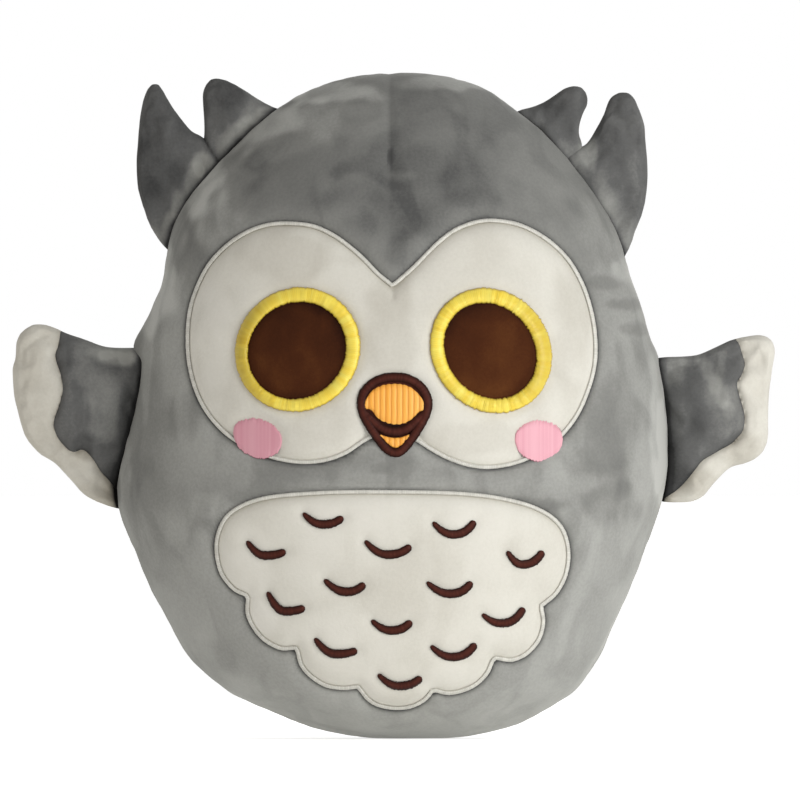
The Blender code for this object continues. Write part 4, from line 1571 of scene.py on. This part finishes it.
    def _dart(self, x: Array, y: Array, z: Array) -> Array:
        """Measure how far the forehead dart and its end dimple press in.

        Args:
            x: Places in X.
            y: Places in Y.
            z: Places in Z.

        Returns:
            The depths.
        """
        run = smooth_between(self.dart_foot - 4 * MM, self.dart_foot + 14 * MM, z) * (y < 0)
        run = run * (1.1 - 0.6 * smooth_between(275 * MM, 300 * MM, z))
        line = self.dart_dip[0] * fade(np.abs(x - self.dart_x), self.dart_dip[1]) * run
        away = np.hypot(x - self.dart_x, (z - self.dart_foot - 3 * MM) / 1.6)
        for deep, reach in (self.dimple_dip, self.hollow_dip):
            line = line + deep * bell(away, reach) * (y < 0)
        return line

    def _tone(self, mesh: Mesh) -> None:
        """Set the pile's tone with painted light and shade: darker on the head, lighter low down
        and to the left, with painted shade in the channels and seams.

        Args:
            mesh: A panel.
        """
        points = points_of(mesh)
        x, y, z = points.T
        share = 2 * z / self.form.height - 1
        tone = Table(self.tone_shares).read(np.clip(share, -1, 1))
        tone = tone + self.left_light * np.clip(x / (100 * MM), -1, 1)
        front = smooth_between(12 * MM, -4 * MM, y)
        beside = x - self.dart_x
        split = smooth_between(-0.8 * MM, 0.8 * MM, beside) - 0.3
        split *= bell(beside, 42 * MM)
        split *= smooth_between(self.dart_foot - 30 * MM, self.dart_foot, z)
        tone = tone + front * (light_and_pile_tone(points, self.light_and_pile_marks) - self.dart_tone * split)
        face = np.flatnonzero(y < -10 * MM)
        flat = np.stack([x, z], 1)[face]
        # Painted shade in the channels beside the patch borders, less where the cover lies above
        # one.
        for line in self.channels:
            away = np.maximum(line.distance(flat) - self.channel_half_width, 0.0)
            tone[face] -= (0.9 - 0.5 * line.above(flat)) * fade(away, 0.75 * MM)
        # Painted shade in the seams.
        seams = np.minimum(*self._seam_gaps(x, y))
        set_tone(mesh, tone - self.seam_shade[0] * fade(seams, self.seam_shade[1]))

    def _fill(self) -> None:
        """Build the filling, a lumpy mass of fibre just inside the cover."""
        mass = self._ball(self.filling_cells)
        points, normals = form_points(mass), form_points(mass, "normal")
        lift = self.form.stuffing(points) - self.filling_inset
        moved = points + normals * (lift + lumpy(points, self.filling_lumps))[:, None]
        moved[:, 2] = np.maximum(moved[:, 2], self.filling_foot)
        lay_out(mass, moved)
        piece = new_piece("body_fibre_filling", mass)
        seat(piece, ["body_filling"], Finish.FILL)


@dataclass
class Tuft:
    """A stuffed limb, sewn round its rim and closed along its root."""

    name: str
    pixels: Pixels
    half_thickness: float
    swell: float
    voxel: float = 1.9 * MM
    rim_half: float = 1.4 * MM
    rim_inset: float = 0.1 * MM
    seam_depth: float = 0.8 * MM
    knots: int = 220
    rings: int = 48
    sides: int = 160
    crowding: float = 1.4
    sewn_cells: float = 1.3
    cap: float = 5.0 * MM
    frames: int = 15
    pressure: float = 4.0
    slack: float = 0.05

    def __post_init__(self) -> None:
        """Draw the outline."""
        self.outline = Line.smooth(photo_points(self.pixels), steps=6).even(self.knots)

    def thickness(self, flat: Array) -> Array:
        """Half the limb's thickness at flat points, before it is filled."""
        rise = np.clip(self.outline.depth(flat) / self.swell, 0, 1)
        return self.rim_half + (self.half_thickness - self.rim_half) * np.sqrt(rise * (2 - rise))

    def rim(self, points: Array) -> Array:
        """How near points in space lie to the seam round the rim, from 0 to 1."""
        near = smooth_between(5 * MM, 2 * MM, self.outline.depth(points[:, ::2]))
        return near * fade(np.abs(points[:, 1]), 0.9 * MM)

    def build(self) -> Piece:
        """Build the limb, fill it and press its seam in.

        Returns:
            The limb.
        """
        edge = self.outline.offset(-self.rim_inset)
        middle = edge.points.mean(axis=0)

        def place(along: Array, around: Array) -> Array:
            """Lay out rings from the front's middle over the rim to the back's.

            Args:
                along: U from 0 to 1.
                around: V from 0 to 1.

            Returns:
                A point for each.
            """
            out = 1 - np.abs(2 * around - 1)
            out = 1 - (1 - out) ** self.crowding
            flat = middle + (edge.at(along) - middle) * out[:, None]
            side = np.sign(around - 0.5) * self.thickness(flat)
            return np.stack([flat[:, 0], side, flat[:, 1]], 1)

        piece = new_piece(self.name, grid_form(self.rings, self.sides, place))
        remesh = piece.modifiers.new("even", "REMESH")
        remesh.mode = "VOXEL"
        remesh.voxel_size = self.voxel
        apply_modifiers(piece)
        self._inflate(piece)
        finer = piece.modifiers.new("finer", "SUBSURF")
        finer.levels = finer.render_levels = 1
        apply_modifiers(piece)
        points = points_of(piece.data)
        sink = self.seam_depth * self.rim(points)
        move_points(piece.data, points - points_of(piece.data, "normal") * sink[:, None])
        return piece

    def _inflate(self, piece: Piece) -> None:
        """Fill the limb: let pressure swell the cloth between its sewn edges.

        Args:
            piece: The limb.
        """
        start = points_of(piece.data)
        sewn = np.flatnonzero(self.outline.depth(start[:, ::2]) < self.voxel * self.sewn_cells)
        group = piece.vertex_groups.new(name="sewn")
        group.add(sewn.tolist(), 1.0, "REPLACE")
        modifier = piece.modifiers.new("filling", "CLOTH")
        cloth = modifier.settings
        cloth.use_pressure = True
        cloth.uniform_pressure_force = self.pressure
        cloth.vertex_group_mass = group.name
        cloth.effector_weights.gravity = 0.0
        cloth.shrink_min = -self.slack
        cloth.quality = 5
        scene = bpy.context.scene
        for number in range(1, self.frames + 1):
            scene.frame_set(number)
        depsgraph = bpy.context.evaluated_depsgraph_get()
        filled = points_of(piece.evaluated_get(depsgraph).data)
        piece.modifiers.clear()
        piece.vertex_groups.clear()
        scene.frame_set(1)
        step = filled - start
        far = np.maximum(np.linalg.norm(step, axis=1, keepdims=True), 1e-9)
        move_points(piece.data, start + step * np.minimum(1.0, self.cap / far))


def prism(line: Line, half_depth: float) -> Piece:
    """Make an upright prism from a flat outline, to cut limbs with.

    Args:
        line: The closed outline.
        half_depth: How far it reaches in Y each way.

    Returns:
        The cutter.
    """
    form = bmesh.new()
    sheet = form.faces.new([form.verts.new((x, -half_depth, z)) for x, z in line.points])
    grown = bmesh.ops.extrude_face_region(form, geom=[sheet])["geom"]
    moved = [v for v in grown if isinstance(v, bmesh.types.BMVert)]
    bmesh.ops.translate(form, verts=moved, vec=(0, 2 * half_depth, 0))
    bmesh.ops.recalc_face_normals(form, faces=form.faces[:])
    return new_piece("cutter", form)


def cut_out(piece: Piece, name: str, cutter: Piece, keep: str) -> Piece:
    """Copy the part of a piece inside or outside a cutter.

    Args:
        piece: The piece.
        name: The copy's name.
        cutter: The cutter.
        keep: "INTERSECT" or "DIFFERENCE".

    Returns:
        The part, with its cut edges sharp.
    """
    part = piece.copy()
    part.data = piece.data.copy()
    part.name = part.data.name = name
    bpy.context.scene.collection.objects.link(part)
    cut = part.modifiers.new("cut", "BOOLEAN")
    cut.operation = keep
    cut.object = cutter
    cut.solver = "EXACT"
    apply_modifiers(part)
    form = bmesh.new()
    form.from_mesh(part.data)
    for edge in form.edges:
        edge.smooth = edge.calc_face_angle(0.0) < math.radians(50)
    form.to_mesh(part.data)
    form.free()
    return part


def root_of(sign: int, hinge: FlatPoint, outward: FlatPoint) -> tuple[Vector, Vector]:
    """The middle of a limb's root and its way out, for the left limb (1) or the right (-1)."""
    return Vector((sign * hinge[0], 0, hinge[1])), Vector((sign * outward[0], 0, outward[1]))


@dataclass
class Wing:
    """A wing: a grey part and a white border, seamed together, sewn in at the side seam."""

    side: str
    pixels: Pixels
    border_pixels: Pixels
    sign: int
    form: BodyForm
    tones: tuple[float, float]
    light_and_pile_marks: Sequence[LightAndPileMark]
    half_thickness: float = 9.0 * MM
    swell: float = 15.0 * MM
    groove: Dip = (0.34, 2.0 * MM)
    gather: Dip = (0.10, 7 * MM)
    seam_steps: int = 5
    outside_knots: int = 3
    gap: float = 0.02 * MM
    cutter_reach: float = 40 * MM
    # Painted shade in the seam between panel and border: how dark, and how far it reaches.
    seam_shade: Dip = (0.2, 1.2 * MM)
    rim_shade: float = 0.3
    root_shades: Sequence[Dip] = ((0.3, 7 * MM), (1.2, 1.5 * MM))
    hinge: FlatPoint = (0.119419, 0.1395)
    outward: FlatPoint = (0.997329, 0.073033)

    def build(self) -> None:
        """Build the wing and cut it along its seam."""
        tuft = Tuft(self.side + "_wing_whole", self.pixels, self.half_thickness, self.swell)
        whole = tuft.build()
        border = Line.smooth(photo_points(self.border_pixels), steps=self.seam_steps)
        spans = len(self.border_pixels) - self.outside_knots - 1
        seam = Line(border.points[:self.seam_steps * spans + 1], closed=False)
        self._press(whole.data, seam)
        parts = (("_wing_panel", "DIFFERENCE", self.gap, Finish.DARK_GREY, "dark_plush"),
                 ("_wing_border", "INTERSECT", -self.gap, Finish.WHITE, "white_plush"))
        for (node, keep, shift, finish, slot), tone in zip(parts, self.tones):
            cutter = prism(border.offset(shift), self.cutter_reach)
            piece = cut_out(whole, self.side + node + "_velboa", cutter, keep)
            bpy.data.objects.remove(cutter)
            self._tone(piece.data, tuft, seam, tone)
            seat(piece, [self.side + node], finish, body="")
            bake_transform(piece)
        bpy.data.objects.remove(whole)

    def _press(self, mesh: Mesh, seam: Line) -> None:
        """Sink the seam and gather the cloth beside it.

        Args:
            mesh: The wing.
            seam: The seam's line.
        """
        points = points_of(mesh)
        away = seam.distance(points[:, ::2])
        share = 1 - self.groove[0] * fade(away, self.groove[1])
        share += lumps(points, 6 * MM, 4.0) * self.gather[0] * fade(away, self.gather[1])
        share += lumps(points, 17 * MM, 6.0) * 0.12
        points[:, 1] *= share
        move_points(mesh, points)

    def _tone(self, mesh: Mesh, tuft: Tuft, seam: Line, level: float) -> None:
        """Paint shade into the pile in the seams, and a shadow in the crease at the body.

        Args:
            mesh: A part of the wing.
            tuft: The whole wing.
            seam: The seam's line.
            level: The tone of its open pile.
        """
        points = points_of(mesh)
        gap = self.form.gap(points)
        # Painted shade in the rim seam and the panel seam, and painted shadow in the crease at the
        # body.
        tone = level + light_and_pile_tone(points, self.light_and_pile_marks) - self.rim_shade * tuft.rim(points)
        tone -= self.seam_shade[0] * fade(seam.distance(points[:, ::2]), self.seam_shade[1])
        for deep, reach in self.root_shades:
            tone -= deep * fade(gap, reach)
        set_tone(mesh, tone)


@dataclass
class Ear:
    """An ear of two stuffed tufts that meet at a crease, sewn in at the side seam."""

    side: str
    outer_pixels: Pixels
    inner_pixels: Pixels
    crease_pixels: Pixels
    sign: int
    form: BodyForm
    tone: float
    crease_shading: float
    light_and_pile_marks: Sequence[LightAndPileMark]
    half_thickness: float = 8.0 * MM
    swell: float = 13.0 * MM
    lumps: Layers = ((15, 9.0, 0.7),)
    crease_reach: float = 0.9 * MM
    rim_shade: float = 0.3
    root_shade: Dip = (0.8, 0.8 * MM)
    hinge: FlatPoint = (0.078349, 0.25225)
    outward: FlatPoint = (0.787975, 0.615708)

    def build(self) -> None:
        """Build the two tufts."""
        hinge, out = root_of(self.sign, self.hinge, self.outward)
        crease = Line(photo_points(self.crease_pixels), closed=False)
        for name, pixels in (("outer", self.outer_pixels), ("inner", self.inner_pixels)):
            node = f"{self.side}_ear_{name}_tuft"
            tuft = Tuft(node + "_velboa", pixels, self.half_thickness, self.swell)
            piece = tuft.build()
            points = points_of(piece.data)
            lift = lumpy(points, self.lumps)[:, None]
            move_points(piece.data, points + points_of(piece.data, "normal") * lift)
            away = (points - np.array(hinge)) @ np.array(out)
            gap = self.form.gap(points)
            tone = self.tone + light_and_pile_tone(points, self.light_and_pile_marks)
            # Painted light near the root, painted shade along the right ear's crease and painted
            # light along the left's, painted shadow where the tuft meets the body and painted
            # shade in the rim seam.
            tone += 0.3 * smooth_between(18 * MM, 4 * MM, away)
            tone += self.crease_shading * fade(crease.distance(points[:, ::2]), self.crease_reach)
            tone -= self.root_shade[0] * fade(gap, self.root_shade[1])
            set_tone(piece.data, tone - self.rim_shade * tuft.rim(points))
            seat(piece, [node], Finish.DARK_GREY, body="")
            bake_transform(piece)


# Marks of brushing and of painted light and shade, in pixels: middle, half sizes and how much
# lighter it is. Painted light and shadow lie near the roots of the wings and ears.
RIGHT_WING_MARKS = (
    (66, 356, 10, 18, -0.18), (82, 372, 12, 14, 0.12), (108, 352, 22, 7, 0.16),
    (104, 408, 18, 36, 0.14), (84, 446, 10, 14, -0.18), (28, 360, 15, 28, -0.10),
    (80, 475, 20, 12, 0.10), (118, 356, 18, 9, 0.30), (130, 356, 10, 12, 0.40),
    (127, 430, 9, 60, -0.12), (88, 352, 34, 11, 0.16), (119, 486, 9, 24, -0.40),
)
LEFT_WING_MARKS = (
    (700, 358, 7, 12, 0.16), (707, 371, 7, 11, 0.20), (715, 384, 7, 11, 0.22),
    (723, 397, 7, 11, 0.20), (728, 410, 6, 9, 0.14), (732, 366, 8, 20, -0.18),
    (688, 452, 14, 16, 0.10), (712, 420, 26, 14, -0.10), (724, 345, 14, 8, -0.10),
    (680, 370, 18, 14, 0.10), (680, 415, 14, 20, 0.08), (742, 450, 20, 20, -0.18),
    (700, 482, 22, 12, -0.18), (677, 400, 12, 56, 0.12),
)
RIGHT_EAR_MARKS = (
    (170, 226, 9, 18, 0.22), (180, 204, 11, 18, 0.30), (192, 182, 12, 18, 0.36),
    (203, 164, 11, 12, 0.30), (226, 152, 14, 16, 0.20), (250, 130, 16, 14, 0.30),
    (268, 113, 12, 8, 0.25), (152, 150, 14, 50, -0.10), (228, 95, 18, 16, -0.10),
)
LEFT_EAR_MARKS = (
    (552, 124, 26, 26, -0.22), (570, 100, 14, 16, -0.06), (590, 152, 10, 20, 0.30),
    (608, 190, 14, 34, 0.12), (628, 130, 12, 30, -0.10),
)
FACE_MARKS = (
    (290, 258, 60, 32, -0.16), (214, 330, 18, 74, 0.12), (392, 335, 26, 62, -0.14),
    (480, 438, 74, 18, -0.10), (325, 425, 34, 26, -0.08), (570, 330, 20, 66, -0.12),
)
BELLY_MARKS = (
    (420, 570, 112, 52, -0.06), (250, 590, 26, 66, 0.12), (455, 676, 64, 14, 0.08),
    (262, 616, 20, 24, 0.12),
)

# The drawn outlines, in pixels; a border's last three lie outside its wing.
FACE_PIXELS = (
    (392.5, 281.8), (391, 280.8), (380, 271.8), (366, 257.3), (352, 245), (335, 233), (315, 224),
    (293, 221), (270, 222), (248, 229), (226, 243), (207, 263), (194, 288), (187, 312), (185, 339),
    (187, 366), (194, 392), (206, 415), (224, 435), (247, 450), (272, 460), (300, 465), (326, 463),
    (348, 455), (366, 443), (380, 437), (396, 437), (412, 441), (430, 452), (447, 461), (468, 468),
    (489, 470), (514, 466), (538, 456), (560, 440), (578, 418), (590, 392), (597, 366), (598, 340),
    (594, 312), (585, 284), (570, 258), (549, 238), (524, 224), (500, 218.5), (478, 219),
    (455, 227), (438, 239), (424, 252.5), (410, 266.8), (394, 280.8),
)
BELLY_PIXELS = (
    (394, 488), (430, 488.5), (465, 490), (498, 494), (530, 502), (553, 514), (566, 530),
    (571, 552), (568, 575), (558, 594), (545.5, 605), (543.8, 606.5), (544.3, 608.5), (546, 622),
    (541, 640), (528, 655), (512, 662), (497.5, 660.3), (495.2, 660.5), (494.3, 662.5), (489, 674),
    (477, 686), (461, 693), (447, 695), (436, 692.5), (433.8, 692.4), (432.6, 694.3), (425, 702),
    (411, 709), (394, 710.5), (377, 707), (366, 700), (358, 690.2), (356.2, 688.6), (354, 689),
    (342, 690), (325, 687), (309, 677), (299, 665), (295.4, 652), (294.6, 650), (292.4, 650),
    (280, 650), (263, 641), (251, 627), (245, 612), (245.4, 599), (245.2, 597), (243.4, 596),
    (232, 590), (219, 573), (214, 549), (217, 529), (227, 512), (246, 500), (272, 493),
    (310, 489.5), (350, 488),
)
RIGHT_WING_PIXELS = (
    (141.5, 347), (137.7, 346.7), (107, 346), (85.7, 338.6), (65.8, 332), (55, 326.7),
    (43.6, 323.5), (30.6, 324.4), (16.8, 337), (14.5, 360), (11.5, 367), (13, 395), (15.3, 405),
    (19, 420), (24.5, 437), (32, 447), (41, 456), (53.5, 463), (64, 474), (73.4, 484), (82, 494),
    (95, 502), (119, 510), (130, 507), (130, 476), (135, 447), (144, 408), (152, 364), (150, 351),
)
RIGHT_BORDER_PIXELS = (
    (60.5, 326), (60.5, 332), (58.5, 345), (55.5, 357), (61, 375), (63, 390), (59.5, 405),
    (54, 422), (57, 436), (66.5, 448), (74, 452), (83.5, 450), (93, 459), (100.5, 471),
    (109.5, 481), (118, 492), (125, 503), (131, 514), (90, 540), (-10, 480), (-10, 310),
)
LEFT_WING_PIXELS = (
    (658.9, 356.6), (681.8, 355.5), (697, 354), (707.9, 349.7), (720, 344), (730.8, 339),
    (740, 336.7), (749, 335), (758.4, 333.7), (766, 335), (773.7, 341), (776, 352), (773, 370),
    (769.9, 395), (769, 420), (769, 437), (764.5, 451), (755, 460), (743, 465), (730.8, 468),
    (720, 478), (711, 488), (704, 497), (692.5, 502.5), (675.7, 503.5), (665, 503), (656, 499),
    (658, 475), (660, 435), (658, 410), (654, 380), (650, 362),
)
LEFT_BORDER_PIXELS = (
    (735, 331), (735.4, 338.5), (739, 344), (741.5, 352), (744.6, 364), (741.5, 375), (737, 383),
    (738.5, 393), (742, 405), (744.6, 417), (743, 430), (737, 438), (730.8, 444), (720, 450),
    (711.5, 455), (702, 461), (694, 471), (686, 481), (677, 490), (665, 498), (656, 504),
    (690, 530), (795, 500), (795, 310),
)
RIGHT_OUTER_PIXELS = (
    (164, 248), (152, 230), (145, 215), (137, 187), (136, 162), (138, 130), (141, 105), (144, 92),
    (149, 84), (156, 81), (162, 86), (168, 98), (175, 110), (183, 121), (192, 131), (202, 135),
    (212, 144), (226, 160), (214, 194), (203, 218), (189, 240), (177, 256),
)
RIGHT_INNER_PIXELS = (
    (203, 135), (203, 120), (202, 105), (202, 92), (207, 82), (212, 78), (217, 77), (230, 80.5),
    (243, 88), (256, 96.5), (273, 106), (290, 114), (272, 134), (257, 152), (243, 164), (224, 176),
    (207, 160), (202, 147),
)
LEFT_INNER_PIXELS = (
    (514, 112.5), (529, 107.5), (541, 102.5), (552, 95.5), (563, 88), (574, 85), (583, 88),
    (588, 98), (587, 106), (583, 115), (581, 125), (580.5, 135), (583.5, 147), (576, 162),
    (559, 180), (543, 168), (527, 150), (508, 126),
)
LEFT_OUTER_PIXELS = (
    (584, 145), (594, 130), (604, 113), (608, 101), (614, 94), (621, 91.5), (629, 91.5), (635, 96),
    (639, 105), (644.5, 122), (647, 140), (648.5, 168), (648, 185), (646, 200), (642, 215),
    (636, 230), (628, 251), (614, 265), (586, 236), (563, 202), (548, 172), (570, 150),
)


@dataclass(frozen=True)
class Lamp:
    """A soft square lamp: its name, where it hangs, its side, its power and its colour."""

    name: str
    place: tuple[float, float, float]
    size: float
    watts: float
    colour: str

    def hang(self, aim: Vector) -> None:
        """Hang the lamp so that it faces a point.

        Args:
            aim: The point.
        """
        light = bpy.data.lights.new(self.name, "AREA")
        light.color = linear(self.colour)[:3]
        light.size = self.size
        light.energy = self.watts
        lamp = bpy.data.objects.new(self.name, light)
        lamp.location = self.place
        lamp.rotation_euler = (aim - lamp.location).to_track_quat("-Z", "Y").to_euler()
        bpy.context.scene.collection.objects.link(lamp)


@dataclass
class Studio:
    """A plain white studio: a pale floor, a soft key from the right, a weak fill, a back light."""

    aim: tuple[float, float, float] = (0.00383, 0.0, 0.15225)
    distance: float = 12.0
    frame_width: float = 0.36036
    ambient: float = 0.42
    lamps: Sequence[Lamp] = (Lamp("key", (0.85, -0.95, 0.38), 0.7, 9.0, "#ffffff"),
                             Lamp("fill", (-1.1, -0.8, 0.1), 0.8, 1.5, "#ffe9cc"),
                             Lamp("back", (0.45, 1.3, 0.7), 1.0, 7.0, "#ffffff"))
    floor_bounce: float = 0.30
    floor_white: float = 0.64
    floor_drop: float = 0.2 * MM

    def build(self) -> None:
        """Set up camera, world, lamps and floor."""
        scene = bpy.context.scene
        scene.view_settings.view_transform = "Standard"
        lens = bpy.data.cameras.new("camera")
        lens.sensor_width = 36.0
        lens.lens = lens.sensor_width * self.distance / self.frame_width
        camera = bpy.data.objects.new("camera", lens)
        camera.location = Vector(self.aim) - Vector((0, self.distance, 0))
        camera.rotation_euler = (math.pi / 2, 0, 0)
        scene.collection.objects.link(camera)
        scene.camera = camera
        self._world(scene)
        for lamp in self.lamps:
            lamp.hang(Vector(self.aim))
        self._floor(scene)

    def _seen(self, tree: Tree) -> Socket:
        """Tell what the camera, a mirror or a glass sees from what only lights.

        Args:
            tree: The node tree.

        Returns:
            One where the surface is seen, else zero.
        """
        path = add_node(tree, "LightPath")
        seen = path.outputs["Is Camera Ray"]
        for kind in ("Is Glossy Ray", "Is Transmission Ray"):
            seen = add_math(tree, "MAXIMUM", seen, path.outputs[kind])
        return seen

    def _world(self, scene: bpy.types.Scene) -> None:
        """Make the room white to the eye and softer as light.

        Args:
            scene: The scene.
        """
        world = bpy.data.worlds.new("white_room")
        scene.world = world
        world.use_nodes = True
        tree = world.node_tree
        strength = add_range(tree, self._seen(tree), wanted=(self.ambient, 1.0))
        set_up(tree.nodes["Background"], {"Color": linear("#ffffff")}, {"Strength": strength})

    def _floor(self, scene: bpy.types.Scene) -> None:
        """Lay the floor, which keeps the owl's shadow and otherwise renders white.

        Args:
            scene: The scene.
        """
        form = bmesh.new()
        bmesh.ops.create_grid(form, x_segments=1, y_segments=1, size=30.0)
        bmesh.ops.translate(form, verts=form.verts[:], vec=(0, 0, -self.floor_drop))
        floor = new_piece("studio_floor", form)
        material, shader, tree = new_material("white_paper_backdrop")
        glow = add_range(tree, self._seen(tree), wanted=(self.floor_bounce, self.floor_white))
        set_up(shader, {
            "Base Color": linear("#f4f4f2"), "Roughness": 0.9, "Specular IOR Level": 0.2,
            "Emission Color": linear("#ffffff"),
        }, {"Emission Strength": glow})
        floor.data.materials.append(material)


def main() -> None:
    """Build the owl and its studio, and log each piece."""
    logging.basicConfig(level=logging.INFO, format="%(name)s %(message)s")
    form = BodyForm()
    # The eyes' tones, the rings' shades and the right cheek's shade are painted light and shade:
    # the owl's right side, away from the key lamp, is darker.
    eyes = (Eye("right", (298.2, 349.8), (64, 60.8), (297.5, 350.8), (50, 46.6), tilt=-40,
                sign=-1, shade=0.6, tone=0.55),
            Eye("left", (490.6, 350.8), (65, 58.4), (489.6, 351.2), (49.8, 43), tilt=52,
                sign=1, shade=0.4, tone=0.66))
    cheeks = (Cheek("right", (258.5, 436.5), (25.5, 20.5), tilt=28, shade=0.28),
              Cheek("left", (538, 439), (24, 22), tilt=0, shade=0.0))
    beak = Beak()
    marks = FeatherMarks()
    notch = Line(photo_points([(392.5, 285), (393, 297.5)]), closed=False)
    face = Patch("face", FACE_PIXELS, (392, 375), tone=0.44, light_and_pile_marks=FACE_MARKS,
                 creases=[notch],
                 stitched=[part.outline for part in (*eyes, *cheeks, beak)])
    belly = Patch("belly", BELLY_PIXELS, (394, 592), light_and_pile_marks=BELLY_MARKS,
                  pressed=marks.lines())
    Cover(form, [face.middle, belly.middle]).build()
    for patch in (face, belly):
        patch.build(form)
    for part in (*eyes, *cheeks, beak):
        part.build(form, face.ground)
    marks.build(form, belly.ground)
    # The limbs' tones carry painted shade: the right wing's border and the right ear are darker,
    # away from the key lamp.
    limbs = (Wing("right", RIGHT_WING_PIXELS, RIGHT_BORDER_PIXELS, -1, form,
                  tones=(0.56, 0.30), light_and_pile_marks=RIGHT_WING_MARKS),
             Wing("left", LEFT_WING_PIXELS, LEFT_BORDER_PIXELS, 1, form,
                  tones=(0.56, 0.42), light_and_pile_marks=LEFT_WING_MARKS),
             Ear("right", RIGHT_OUTER_PIXELS, RIGHT_INNER_PIXELS, ((203, 137), (217, 160)), -1,
                 form, tone=0.34, crease_shading=-0.5, light_and_pile_marks=RIGHT_EAR_MARKS),
             Ear("left", LEFT_OUTER_PIXELS, LEFT_INNER_PIXELS, ((583, 142), (576, 163)), 1,
                 form, tone=0.42, crease_shading=0.1, light_and_pile_marks=LEFT_EAR_MARKS))
    for limb in limbs:
        limb.build()
    Studio().build()


if __name__ == "__main__":
    main()
